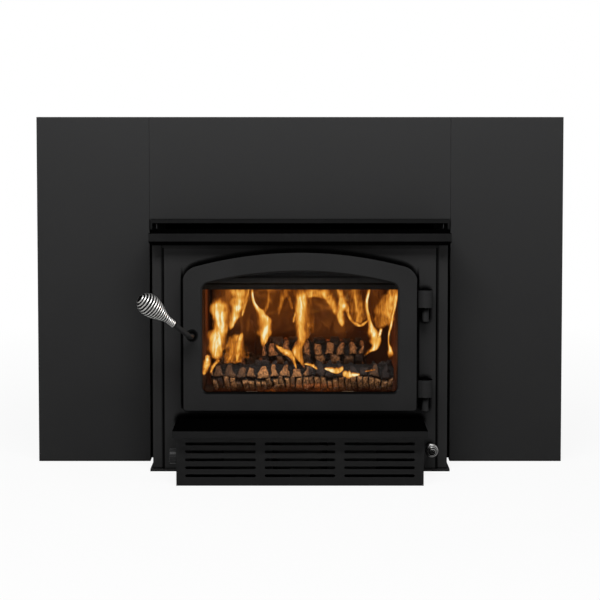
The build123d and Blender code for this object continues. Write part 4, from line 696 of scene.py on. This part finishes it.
def gripWire(name, grip):
    way = Vector(grip["way"]).normalized()
    points = wirePoints(grip, way)
    deselect()
    bpy.ops.curve.primitive_nurbs_path_add()
    piece = bpy.context.object
    piece.name = name
    spline = piece.data.splines[0]
    spline.points.add(len(points) - len(spline.points))
    for knot, point in zip(spline.points, points):
        knot.co = (*point, 1)
    spline.order_u = 4
    spline.use_endpoint_u = True
    piece.data.resolution_u = winding["knotsPerPoint"]
    piece.data.bevel_depth = grip["wire"] * 0.0005
    piece.data.bevel_resolution = winding["roundness"]
    piece.data.use_fill_caps = True
    bpy.ops.object.convert(target="MESH")
    piece = bpy.context.object
    # how much shade is painted on each point, on the side of the wire that looks into the grip
    attribute = pointColour(piece, "inward")
    for index, vertex in enumerate(piece.data.vertices):
        off = vertex.co - Vector(grip["start"])
        off = (off - way * off.dot(way)).normalized()
        inward = clamp((winding["darkFrom"] - vertex.normal.dot(off)) / winding["darkOver"])
        attribute.data[index].color = (inward, inward, inward, 1)
    bpy.ops.object.shade_smooth()
    dress(piece, grip["finish"])
    return piece


lift, lean = math.radians(42), math.radians(22)
gripWay = Vector((-math.cos(lift) * math.cos(lean), -math.sin(lean), math.sin(lift) * math.cos(lean)))
handleGrip = {
    "start": Vector((-0.221, -0.180, 0.290)) + gripWay * (0.046 + 0.00175),
    "way": gripWay, "wire": 3.2, "neck": 5.85, "belly": 21.2, "neckTurns": 4.5, "neckPitch": 3.9,
    "bodyTurns": 13.5, "flare": 51.5, "cap": 24.5, "end": 5.5, "finish": "gripWire",
}
airKnob = {
    "start": (0.269, -0.130, 0.056), "way": (0, -1, 0.0001), "wire": 2.6, "neck": 4.45,
    "belly": 12.2, "neckTurns": 3.5, "neckPitch": 3.3, "bodyTurns": 9.5, "flare": 26.0,
    "cap": 15.0, "end": 4.2, "finish": "knobWire",
}
grip = gripWire("gripCoil", handleGrip)
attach(grip, "handle")
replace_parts(grip, "handle_grip")
knob = gripWire("knobCoil", airKnob)
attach(knob, "air_slide")
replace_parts(knob, "air_knob")
print("wire grips wound")


# charred logs and embers
def charredWood():
    finish = Finish("charredWood")
    crack, block, heat = finish.painted("char")
    grain = finish.speckle(290.0, 5.0, 0.7, (1, 1, 0.5))
    fleck = finish.spread(finish.speckle(520.0, 3.0), 0.58, 0.75)
    brown = finish.blendColour(finish.spread(grain, 0.38, 0.62), (0.080, 0.029, 0.010), (0.66, 0.320, 0.118))
    char = finish.blendColour(grain, (0.004, 0.004, 0.005), (0.022, 0.021, 0.022))
    face = finish.blendColour(finish.spread(block, 0.34, 0.62), char, brown)
    ashy = finish.blendColour(fleck * 0.45, face, (0.40, 0.24, 0.14))
    shade = finish.blendColour(crack, ashy, (0.0022, 0.0018, 0.0018))
    ember = (heat * (1 - crack * 0.7) * finish.spread(grain, 0.30, 0.62, 0.35, 1.0)).held()
    glow = finish.node(
        "ValToRGB",
        {"stops": [(0.0, (0, 0, 0)), (0.12, (0.018, 0.006, 0.002)), (0.35, (0.16, 0.035, 0.006)),
                   (0.62, (0.70, 0.22, 0.03)), (0.85, (1.0, 0.58, 0.16)), (1.0, (1.0, 0.88, 0.50))]},
        {"Fac": ember},
    )
    return finish.done(
        colour=shade, roughness=finish.spread(grain, 0.3, 0.7, 0.72, 0.95),
        normal=finish.bump(grain + fleck * 0.3, 0.0012, 0.8), glow=glow, glowStrength=1.0, shine=0.25,
    )


def glowingBed():
    finish = Finish("glowingBed")
    crack, lump, heat = finish.painted("char")
    grain = finish.speckle(260.0, 5.0, 0.7)
    ash = finish.blendColour(grain * lump, (0.030, 0.020, 0.016), (0.24, 0.18, 0.13))
    shade = finish.blendColour(crack * 0.8, ash, (0.010, 0.005, 0.003))
    ember = (heat * finish.spread(grain, 0.3, 0.75)).held()
    glow = finish.node(
        "ValToRGB",
        {"stops": [(0.0, (0, 0, 0)), (0.25, (0.07, 0.014, 0.002)), (0.55, (0.42, 0.10, 0.012)),
                   (0.8, (0.95, 0.36, 0.05)), (1.0, (1.0, 0.72, 0.25))]},
        {"Fac": ember},
    )
    return finish.done(
        colour=shade, roughness=0.9, normal=finish.bump(grain, 0.0015, 0.8),
        glow=glow, glowStrength=1.0, shine=0.2,
    )


# how every log chars; of the pairs, all but width and rowTop are a height and how often it comes
charring = {
    "rowFine": (0.18, 70), "rowSlow": (0.20, 24), "bend": (0.20, 45), "edge": (0.06, 260),
    "otherNarrow": 0.15, "width": (0.90, 0.24), "stagger": 0.18, "rowTop": (1.04, 0.10), "rowGap": 0.035,
    "flakes": 420, "flakeEdge": 0.25, "flakeDepth": 0.0009, "girth": (0.06, 14), "pits": (0.0012, 160),
    "endWaves": (0.005, 40), "core": 0.012, "tipSoft": 0.12, "charSoft": 0.02,
}


def ribAt(x, height, log, seed):
    # charring parts the wood into rows of upright ribs, narrower towards their ragged tops
    def waveAt(name, *rest):
        rise, often = charring[name]
        return wave(seed, rise, x * often, *rest)

    place = height + log["rowShift"] + waveAt("rowFine", 0, 1.3)
    place += waveAt("rowSlow", 3.7, 0.4)
    row = math.floor(place)
    rise = place - row
    pitch = log["rib"] if row == 0 else log["lowRib"]
    across = x / pitch + waveAt("bend", height * 2.2, row * 3.1)
    column = math.floor(across)
    luck = [0.5 + noise.noise(Vector((column * 5.17 + k * 9.3, row * 3.71, seed.x + k))) for k in range(3)]
    narrow = log["narrow"] if row == 0 else charring["otherNarrow"]
    wide, vary = charring["width"]
    half = 0.5 * log["fill"] * (wide + vary * luck[0]) * (1 - narrow * max(0.0, rise) ** 1.3)
    half += waveAt("edge", height * 9, row)
    beside = (abs(across - column - 0.5 - charring["stagger"] * (luck[1] - 0.5)) - half) / log["soft"] + 1
    full, soft = charring["rowTop"]
    above = (rise - full + log["ragged"] * luck[2]) / soft
    below = (charring["rowGap"] - rise) / charring["rowGap"]
    crack = clamp(max(beside, above, below))
    return crack * crack * (3 - 2 * crack), clamp(luck[1]), row


def logHeat(spot, out, log, seed):
    # a little glow on the side that faces the room, and more at the hot spots
    heat = log["heat"] * (0.6 + 0.4 * noise.noise(seed + spot * 18)) * max(0.0, -out.y * 0.6 + 0.4)
    for where, size, power in log["hotSpots"]:
        off = spot - Vector(where)
        near = 1 - (off.x / size[0]) ** 2 - (off.y / size[1]) ** 2 - (off.z / size[2]) ** 2
        heat += power * max(0.0, near)
    return clamp(heat)


def logBrown(spot, out, shade, row, log, seed):
    # how much brown wood a rib still shows: none at its tip, less where the log is burnt deep
    charred = log["blackness"] + 0.5 * noise.noise(Vector((spot.x * log["burnt"], 5.2, seed.x)))
    if row != 0:
        charred += log["otherRows"][0 if row < 0 else 1]
    else:
        start, deep = log["charFrom"]
        charred += deep * clamp((spot.x - start) / charring["charSoft"])
    tip = clamp((out.z - log["tipFrom"]) / charring["tipSoft"])
    return clamp(0.55 + 0.4 * shade - charred - 0.7 * tip)


def burntLog(name, log):
    deselect()
    bpy.ops.mesh.primitive_cylinder_add(
        vertices=64, radius=log["radius"], depth=log["length"],
        location=log["centre"], rotation=(0, math.pi / 2, 0),
    )
    piece = bpy.context.object
    piece.name = name
    evenMesh(piece, log["step"])
    centre, seed = Vector(log["centre"]), Vector(log["seed"])
    pitRise, pitOften = charring["pits"]
    endRise, endOften = charring["endWaves"]
    girthRise, girthOften = charring["girth"]
    attribute = pointColour(piece, "char")
    for index, vertex in enumerate(piece.data.vertices):
        spot = vertex.co - centre
        around = Vector((0, spot.y, spot.z))
        reach = around.length
        out = around / reach if reach > 1e-6 else Vector((0, 0, 1))
        share = spot.x / log["length"] * 2
        crack, shade, row = ribAt(spot.x, out.z, log, seed)
        cells, _ = noise.voronoi(seed + Vector((spot.x * charring["flakes"], out.z * 9, out.y * 3)))
        flake = max(0.0, 1 - (cells[1] - cells[0]) / charring["flakeEdge"])
        swell = 1 - log["taper"] * share ** 2 + wave(seed, girthRise, spot.x * girthOften, 0, 0)
        flow = min(1, reach / charring["core"])      # the log's ends stay closed at their middle
        jut = log["jut"] * (shade - 0.35) + wave(seed, pitRise, *(vertex.co * pitOften))
        cut = log["crackDepth"] * crack
        reachNow = reach * swell + flow * (jut * (1 - crack) - cut - charring["flakeDepth"] * flake)
        end = wave(seed, endRise, spot.y * endOften, spot.z * endOften, share * 3)
        vertex.co = centre + Vector((spot.x + end, 0, 0)) + out * reachNow
        heat = logHeat(vertex.co, out, log, seed)
        brown = logBrown(vertex.co, out, shade, row, log, seed)
        attribute.data[index].color = (max(crack, flake * 0.35), brown, heat, 1)
    bpy.ops.object.shade_smooth()
    dress(piece, "char")
    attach(piece, "root")
    return piece


finishes["char"] = charredWood()
finishes["bed"] = glowingBed()
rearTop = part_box("logs_back")[1].z
frontLog = {
    "centre": (0.005, -0.030, 0.1865), "radius": 0.0312, "length": 0.384, "step": 0.0016, "taper": 0.04,
    "rib": 0.0235, "lowRib": 0.0128, "rowShift": -0.06, "fill": 0.92, "narrow": 0.70, "soft": 0.10,
    "ragged": 0.44, "tipFrom": 0.82, "crackDepth": 0.0075, "jut": 0.004, "seed": (3.1, 1.7, 9.2),
    "otherRows": (0.0, 0.8), "heat": 0.10, "burnt": 9.0, "blackness": 0.07, "charFrom": (0.005, 0.55),
    "hotSpots": [((0.030, -0.058, 0.1685), (0.085, 0.03, 0.008), 0.40),
                 ((-0.150, -0.055, 0.175), (0.05, 0.03, 0.02), 0.12)],
}
rearLog = {
    "centre": (-0.018, 0.075, 0.186), "radius": 0.0330, "length": 0.328, "step": 0.0024, "taper": 0.06,
    "rib": 0.020, "lowRib": 0.017, "rowShift": 0.0, "fill": 0.92, "narrow": 0.4, "soft": 0.10,
    "ragged": 0.3, "tipFrom": 0.70, "crackDepth": 0.006, "jut": 0.004, "seed": (7.4, 2.2, 4.8),
    "otherRows": (0.3, 0.6), "heat": 0.06, "burnt": 8.0, "blackness": 0.42, "charFrom": (0.0, 0.1),
    "hotSpots": [((-0.05, 0.045, 0.215), (0.04, 0.03, 0.02), 0.18)],
}
topLog = {
    "centre": (0.028, 0.0213, rearTop - 0.021), "radius": 0.0305, "length": 0.214, "step": 0.0016,
    "taper": 0.05, "rib": 0.0240, "lowRib": 0.0300, "rowShift": 0.12, "fill": 0.74, "narrow": 0.30,
    "soft": 0.12, "ragged": 0.26, "tipFrom": 0.80, "crackDepth": 0.0085, "jut": 0.005,
    "seed": (1.3, 8.8, 5.1), "otherRows": (0.7, 0.9), "heat": 0.12, "burnt": 2.0,
    "blackness": -0.05, "charFrom": (0.06, 0.10),
    "hotSpots": [((-0.055, -0.005, 0.25), (0.03, 0.03, 0.03), 0.20)],
}
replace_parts(burntLog("burntLogFront", frontLog), "log_front")
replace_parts(burntLog("burntLogRear", rearLog), "logs_back")
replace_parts(burntLog("burntLogTop", topLog), "logs_back")
print("logs charred")


def coalBed(name, bed):
    deselect()
    low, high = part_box("ember_bed")
    size, centre = high - low, (low + high) / 2
    bpy.ops.mesh.primitive_cube_add(size=1, location=centre, scale=size)
    piece = bpy.context.object
    piece.name = name
    evenMesh(piece, bed["step"])
    seed = Vector(bed["seed"])
    attribute = pointColour(piece, "char")
    for index, vertex in enumerate(piece.data.vertices):
        spot = vertex.co.copy()
        rise = (spot.z - low.z) / size.z
        cells, _ = noise.voronoi(seed + spot * bed["lumps"])
        crack = max(0.0, 1 - (cells[1] - cells[0]) / bed["crackEdge"])
        if rise > 0.02:
            # heaped towards the middle, ragged at its rim
            aside = abs(spot.x - centre.x) / (size.x / 2)
            back = abs(spot.y - centre.y) / (size.y / 2)
            ragged = 0.8 + 0.2 * noise.noise(seed + spot * 22)
            top = size.z * (1 - bed["fall"] * max(aside ** 4, back ** 4)) * ragged
            spot.z = low.z + rise * top - bed["crackDepth"] * crack * rise
            draw = bed["draw"] * rise
            spot.x = centre.x + (spot.x - centre.x) * (1 - draw * (1 + noise.noise(seed + spot * 30)))
            spot.y = centre.y + (spot.y - centre.y) * (1 - draw * (1 + noise.noise(seed + spot * 31)))
        vertex.co = spot
        patchy = 0.5 + 0.5 * noise.noise(seed + spot * 16)
        middle = max(0.0, 1 - ((spot.x + 0.01) / bed["spread"]) ** 2)
        heat = bed["heat"] * patchy * (0.4 + 0.6 * crack) * (0.2 + 0.8 * middle)
        attribute.data[index].color = (crack, rise, min(heat, 1.0), 1)
    bpy.ops.object.shade_smooth()
    dress(piece, "bed")
    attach(piece, "root")
    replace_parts(piece, "ember_bed")


emberBed = {
    "step": 0.0026, "seed": (5.5, 0.4, 2.9), "lumps": 95.0, "crackEdge": 0.30, "crackDepth": 0.0035,
    "fall": 0.75, "draw": 0.04, "heat": 1.15, "spread": 0.11,
}
coalBed("coalBed", emberBed)
print("ember bed laid")


# flames: thin curved tongues, each along its own line
def flameFinish():
    finish = Finish("flame")
    body = finish.painted("warmth")[0]
    streak = finish.speckle(26.0, 5.0, 0.60, (2.2, 1.0, 0.45), 1.4)
    tear = finish.speckle(46.0, 4.0, 0.55, (1.8, 1.0, 0.45), 1.6)
    torn = (1 - body) * finish.spread(tear, 0.36, 0.64, -0.08, 0.32)
    licked = (body * finish.spread(streak, 0.32, 0.68, 0.52, 1.22) - torn).held()
    colour = finish.node(
        "ValToRGB",
        {"stops": [(0.0, (0.32, 0.072, 0.005)), (0.27, (0.50, 0.145, 0.013)), (0.54, (0.76, 0.285, 0.032)),
                   (0.79, (0.96, 0.54, 0.110)), (1.0, (1.0, 0.93, 0.58))]},
        {"Fac": licked},
    )
    return finish.done(
        colour=(0, 0, 0), roughness=1.0, shine=0.0, glow=colour, glowStrength=1.0,
        alpha=finish.spread(licked, 0.0, 0.52),
    )


# what every flame shares: faces along and across it, and how it widens, bows and ripples in millimetres
flameSheet = {
    "along": 72, "across": 14, "widen": 1.75, "bow": 6, "ripple": 5, "sway": 0.25,
    "footFade": 0.10, "tipFade": 0.14, "sharp": 1.2, "rimAt": 0.62, "rimWidth": 0.16,
}


def measuredLine(line):
    points = [Vector((x, z)) for x, z, _ in line]
    lengths = [0.0]
    for a, b in zip(points, points[1:]):
        lengths.append(lengths[-1] + (b - a).length)
    return points, [width for _, _, width in line], lengths


def alongLine(measured, share):
    # place and half width on a smooth line through the given points
    points, widths, lengths = measured
    target = share * lengths[-1]
    i = 0
    while i < len(points) - 2 and target > lengths[i + 1]:
        i += 1
    t = (target - lengths[i]) / (lengths[i + 1] - lengths[i])
    p0, p1 = points[max(i - 1, 0)], points[i]
    p2, p3 = points[i + 1], points[min(i + 2, len(points) - 1)]
    spot = 0.5 * (
        2 * p1 + (p2 - p0) * t + (2 * p0 - 5 * p1 + 4 * p2 - p3) * t ** 2
        + (3 * p1 - p0 - 3 * p2 + p3) * t ** 3
    )
    ease = t * t * (3 - 2 * t)
    return spot, widths[i] + (widths[i + 1] - widths[i]) * ease


def flameHeat(flame, wide, far):
    # the hot core lies off the middle, so one edge is crisp and the other soft
    lean, hollow = flame.get("lean", 0.0), flame.get("hollow", 0.0)
    aside = (wide - lean) / (1 - lean if wide > lean else 1 + lean)
    core = max(0.0, 1 - aside ** 2) ** flame.get("sharp", flameSheet["sharp"])
    rim = math.exp(-((abs(wide) - flameSheet["rimAt"]) / flameSheet["rimWidth"]) ** 2)
    body = core * (1 - hollow) + (0.35 * core + 0.85 * rim) * hollow
    ends = min(1.0, far / flameSheet["footFade"]) * min(1.0, (1 - far) / flameSheet["tipFade"])
    return flame["power"] * body * ends


def tongue(name, flame):
    # a grid set upright, then bent along the flame's line and bowed towards the room
    deselect()
    bpy.ops.mesh.primitive_grid_add(
        x_subdivisions=flameSheet["across"], y_subdivisions=flameSheet["along"], size=2
    )
    piece = bpy.context.object
    piece.name = name
    measured = measuredLine(flame["line"])
    seed = Vector((len(name) * 1.7, 0.3, 0.9))
    attribute = pointColour(piece, "warmth")
    for index, vertex in enumerate(piece.data.vertices):
        wide, far = vertex.co.x, (vertex.co.y + 1) / 2
        spot, width = alongLine(measured, far)
        ahead, _ = alongLine(measured, min(far + 0.01, 1.0))
        behind, _ = alongLine(measured, max(far - 0.01, 0.0))
        way = (ahead - behind).normalized()
        side = Vector((way.y, -way.x))
        ripple = noise.noise(seed + Vector((far * 9, wide * 1.4, 0)))
        flat = spot + side * (wide * width * flameSheet["widen"] * (1 + flameSheet["sway"] * ripple))
        depth = flame["depth"] - flameSheet["bow"] * (1 - wide ** 2) + flameSheet["ripple"] * ripple
        vertex.co = (flat.x * 0.001, depth * 0.001, flat.y * 0.001)
        flicker = 0.9 + 0.35 * noise.noise(seed + Vector((far * 9, wide * 1.5, 4)))
        heat = clamp(flameHeat(flame, wide, far) * flicker)
        attribute.data[index].color = (heat, heat, heat, 1)
    bpy.ops.object.shade_smooth()
    dress(piece, "flame")
    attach(piece, "root")


finishes["flame"] = flameFinish()
# each line is (x, z, half width) from its foot to its tip, in millimetres
flames = {
    "flameLeftHeel": {"depth": -72, "power": 0.85, "line": [
        (-188, 199, 1), (-183, 212, 3), (-175, 222, 3), (-168, 229, 2)]},
    "flameLeftFoot": {"depth": -69, "power": 0.92, "lean": -0.2, "line": [
        (-202, 194, 2), (-199, 207, 5), (-195, 221, 6), (-193, 233, 4), (-193, 241, 1)]},
    "flameLeftBody": {"depth": -60, "power": 1.12, "lean": -0.15, "line": [
        (-170, 221, 3), (-175, 236, 9), (-177, 251, 13), (-173, 268, 15), (-166, 286, 12), (-166, 305, 12),
        (-170, 327, 13), (-168, 345, 11), (-165, 361, 4)]},
    "flameLeftSlant": {"depth": -46, "power": 0.92, "lean": 0.25, "line": [
        (-149, 284, 1), (-145, 298, 5), (-138, 322, 9), (-133, 344, 12), (-132, 362, 13), (-133, 382, 13)]},
    "flameLeftThin": {"depth": -40, "power": 0.80, "line": [
        (-123, 312, 1), (-119, 332, 3), (-114, 350, 3.5), (-110, 367, 3), (-108, 382, 3)]},
    "flameLowHaze": {"depth": -34, "power": 0.56, "line": [
        (-140, 212, 16), (-140, 228, 21), (-139, 244, 20), (-136, 260, 13), (-130, 278, 5)]},
    "flameLowOne": {"depth": -46, "power": 0.66, "lean": 0.3, "line": [
        (-156, 214, 1), (-150, 226, 3), (-146, 240, 5), (-145, 254, 4), (-147, 272, 0.8)]},
    "flameLowTwo": {"depth": -54, "power": 0.80, "lean": -0.35, "line": [
        (-134, 217, 1), (-131, 232, 4), (-129, 250, 6), (-125, 267, 5), (-121, 286, 1)]},
    "flameSecond": {"depth": -52, "power": 1.0, "lean": 0.35, "line": [
        (-79, 250, 1), (-77, 265, 6), (-76, 283, 11), (-76, 303, 11.5), (-82, 319, 7), (-90, 332, 3.5),
        (-97, 345, 2.5), (-101, 360, 2.5), (-102, 382, 2.5)]},
    "flameSecondArm": {"depth": -44, "power": 0.48, "line": [
        (-77, 318, 2), (-71, 334, 3.5), (-66, 350, 3.5), (-67, 366, 3), (-70, 382, 3)]},
    "flameWispOne": {"depth": -40, "power": 0.60, "line": [
        (-46, 316, 1), (-42, 334, 3), (-38, 349, 4), (-32, 362, 7), (-29, 382, 9)]},
    "flameWispTwo": {"depth": -36, "power": 0.42, "line": [
        (-16, 328, 2), (-20, 342, 3), (-25, 355, 4), (-29, 368, 6), (-30, 382, 7)]},
    "flameCentre": {"depth": -56, "power": 1.0, "lean": -0.2, "line": [
        (11, 205, 1), (5, 218, 3), (-2, 231, 6), (-5, 245, 7), (1, 259, 7), (5, 273, 7.5), (2, 287, 7.5),
        (2, 301, 8), (4, 317, 10), (5, 335, 10), (4, 352, 9.5), (4, 367, 12), (5, 382, 15)]},
    "flameCentreEdge": {"depth": -44, "power": 0.75, "line": [
        (-14, 300, 1), (-12, 312, 2), (-7, 326, 2.2), (-1, 340, 2), (3, 352, 1.5)]},
    "flameCentreVeil": {"depth": -38, "power": 0.44, "line": [
        (10, 262, 4), (16, 285, 9), (18, 312, 9), (16, 340, 9), (14, 366, 9)]},
    "flameLick": {"depth": -70, "power": 0.98, "lean": 0.2, "line": [
        (-7, 204, 0.8), (-11, 218, 2), (-16, 231, 3.5), (-24, 240, 5.5), (-36, 246, 5), (-46, 253, 2.5),
        (-54, 260, 1)]},
    "flameCrown": {"depth": -50, "power": 0.86, "lean": 0.2, "line": [
        (8, 360, 8), (24, 366, 8), (46, 366, 8), (61, 357, 8), (70, 343, 8), (75, 329, 6), (77, 313, 2)]},
    "flameRightStem": {"depth": -48, "power": 0.98, "lean": -0.3, "line": [
        (91, 291, 2), (88, 306, 5), (86, 322, 6), (91, 338, 8), (89, 353, 5), (85, 366, 5), (83, 382, 5)]},
    "flameLoop": {"depth": -42, "power": 0.90, "line": [
        (98, 343, 4), (100, 330, 3.5), (103, 318, 2.6), (109, 307, 2.6), (119, 298, 2.6), (130, 296, 2.6),
        (140, 303, 2.2), (147, 311, 1)]},
    "flameLoopVeil": {"depth": -36, "power": 0.56, "sharp": 0.8, "line": [
        (122, 296, 5), (124, 318, 13), (122, 340, 12), (117, 360, 8), (115, 382, 8)]},
    "flameRight": {"depth": -58, "power": 1.08, "lean": 0.15, "line": [
        (137, 234, 0.8), (147, 243, 2.5), (158, 253, 6), (158, 267, 10), (154, 281, 7.5), (149, 297, 4),
        (145, 313, 3), (141, 332, 2.6), (140, 348, 2.6), (143, 362, 2.6), (148, 382, 2.8)]},
    "flameRightTip": {"depth": -66, "power": 0.95, "line": [
        (164, 272, 1), (167, 279, 3), (169, 286, 2.6), (172, 294, 1)]},
    "flameEdgeLeaf": {"depth": -48, "power": 0.82, "hollow": 0.15, "lean": 0.3, "sharp": 0.8, "line": [
        (184, 290, 4), (178, 302, 13), (178, 318, 15), (182, 334, 14), (189, 349, 11), (197, 363, 8),
        (203, 382, 8)]},
    "flameEdgeLine": {"depth": -58, "power": 1.0, "line": [
        (188, 228, 3), (190, 238, 5.5), (190, 248, 3), (187, 259, 1.4), (187, 275, 1.5), (191, 294, 2.2),
        (195, 316, 2.5), (199, 337, 2.6), (202, 356, 3), (205, 382, 3)]},
    "emberCurl": {"depth": -70, "power": 1.0, "line": [
        (8, 218, 0.8), (18, 217, 2), (27, 214, 2.6), (34, 209, 2), (38, 206, 0.8)]},
    "emberLong": {"depth": -71, "power": 1.3, "lean": 0.2, "line": [
        (50, 209, 1), (60, 207, 2.6), (70, 204.5, 4.2), (80, 204, 5), (86, 208, 4), (89, 215, 1)]},
    "emberBroad": {"depth": -70, "power": 1.35, "line": [
        (88, 197, 2), (95, 196.5, 5), (103, 195, 5.5), (112, 195, 3.2), (122, 195.5, 2.2), (127, 196, 1)]},
    "emberSlip": {"depth": -69, "power": 0.62, "line": [
        (136, 202, 0.8), (146, 203.5, 1.6), (154, 205.5, 1.6), (160, 206, 0.8)]},
}
for flameName, flame in flames.items():
    tongue(flameName, flame)
print("flames lit:", len(flames))


# fire curtain: the dim plumes behind the logs
def curtainFinish():
    finish = Finish("firePlumes")
    warp = finish.speckle(8.0, 3.0, 0.5, (1.0, 1.0, 0.7), 1.2)
    shift = finish.node("CombineXYZ", sockets={0: warp * 0.16, 1: 0.0, 2: warp * 0.05})
    place = finish.node("VectorMath", {"operation": "ADD"}, {0: finish.place, 1: shift})
    stretched = finish.node("Mapping", sockets={"Vector": place, "Scale": (26.0, 1.0, 7.5)})
    plume = finish.node("TexNoise", sockets={
        "Vector": stretched, "Scale": 1.0, "Detail": 6.0, "Roughness": 0.58, "Distortion": 0.9,
    })
    thread = finish.node("TexNoise", sockets={
        "Vector": stretched, "Scale": 0.8, "Detail": 2.0, "Roughness": 0.5, "Distortion": 1.6,
    })
    wide = finish.speckle(7.0, 2.0, 0.5, (1.5, 1.0, 0.6))
    faded = finish.painted("warmth")[0]
    filament = 1 - finish.spread((thread - 0.5).size(), 0.004, 0.035)
    body = finish.spread(plume, 0.36, 0.70) * 0.85 + filament * 0.35
    body = (body * finish.spread(wide, 0.36, 0.60, 0.12, 1.0) * faded).held()
    colour = finish.node(
        "ValToRGB",
        {"stops": [(0.0, (0.040, 0.007, 0.001)), (0.22, (0.12, 0.030, 0.004)), (0.48, (0.32, 0.095, 0.012)),
                   (0.75, (0.74, 0.30, 0.045)), (1.0, (1.0, 0.62, 0.20))]},
        {"Fac": body},
    )
    return finish.done(
        colour=(0, 0, 0), roughness=1.0, shine=0.0, glow=colour, glowStrength=1.0,
        alpha=finish.spread(body + faded * 0.30, 0.02, 0.42),
    )


def curtain(name, sheet):
    deselect()
    bpy.ops.mesh.primitive_grid_add(x_subdivisions=60, y_subdivisions=30, size=2)
    piece = bpy.context.object
    piece.name = name
    attribute = pointColour(piece, "warmth")
    for index, vertex in enumerate(piece.data.vertices):
        wide, far = vertex.co.x, (vertex.co.y + 1) / 2
        ripple = 0.008 * noise.noise(Vector((wide * 4, far * 2, sheet["seed"])))
        vertex.co = (
            wide * sheet["half"],
            sheet["depth"] + sheet["bow"] * (1 - wide * wide) + ripple,
            sheet["foot"] + far * (sheet["top"] - sheet["foot"]),
        )
        # faint at its sides, foot and top
        fade = min(1.0, (1 - abs(wide)) / 0.18) * min(1.0, far / 0.50) ** 1.2
        fade *= min(1.0, (1 - far) / 0.05 + 0.4)
        warmth = max(0.0, fade) * sheet["power"]
        attribute.data[index].color = (warmth, warmth, warmth, 1)
    bpy.ops.object.shade_smooth()
    dress(piece, "plumes")
    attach(piece, "root")


finishes["plumes"] = curtainFinish()
plumes = {
    "plumesBack": {"depth": 0.150, "bow": 0.03, "half": 0.200, "foot": 0.215, "top": 0.388,
                   "power": 0.98, "seed": 1.0},
    "plumesMiddle": {"depth": 0.055, "bow": -0.02, "half": 0.195, "foot": 0.235, "top": 0.386,
                     "power": 0.90, "seed": 4.0},
}
for plumeName, sheet in plumes.items():
    curtain(plumeName, sheet)
print("plumes drawn")


# floor
def paleFloor(floorLook):
    finish = Finish("paleFloor")
    grain = finish.speckle(3.0, 3.0)
    finish.done(
        colour=finish.blendColour(grain, (0.55, 0.55, 0.55), (0.60, 0.60, 0.60)), roughness=0.9, shine=0.1,
    )
    # seen by the camera it is nearly white, and quite white away from the object
    away = finish.node("VectorMath", {"operation": "LENGTH"}, {0: finish.place}, out="Value")
    white = finish.spread(away, floorLook["near"], floorLook["far"], floorLook["whiteness"], 1.0)
    camera = finish.node("LightPath", out="Is Camera Ray")
    glow = finish.node("Emission", sockets={"Color": (1, 1, 1, 1), "Strength": 1.0})
    mixed = finish.node("MixShader", sockets={0: camera * white, 1: Wire(finish.shader.outputs[0]), 2: glow})
    finish.feed(finish.tree.nodes["Material Output"].inputs["Surface"], mixed)
    return finish.material


floorLook = {"size": 60, "near": 0.7, "far": 2.2, "whiteness": 0.91}
deselect()
bpy.ops.mesh.primitive_plane_add(size=floorLook["size"], location=(0, 0, -0.0005))
floor = bpy.context.object
floor.name = "floor"
floor.data.materials.append(paleFloor(floorLook))
print("floor laid")
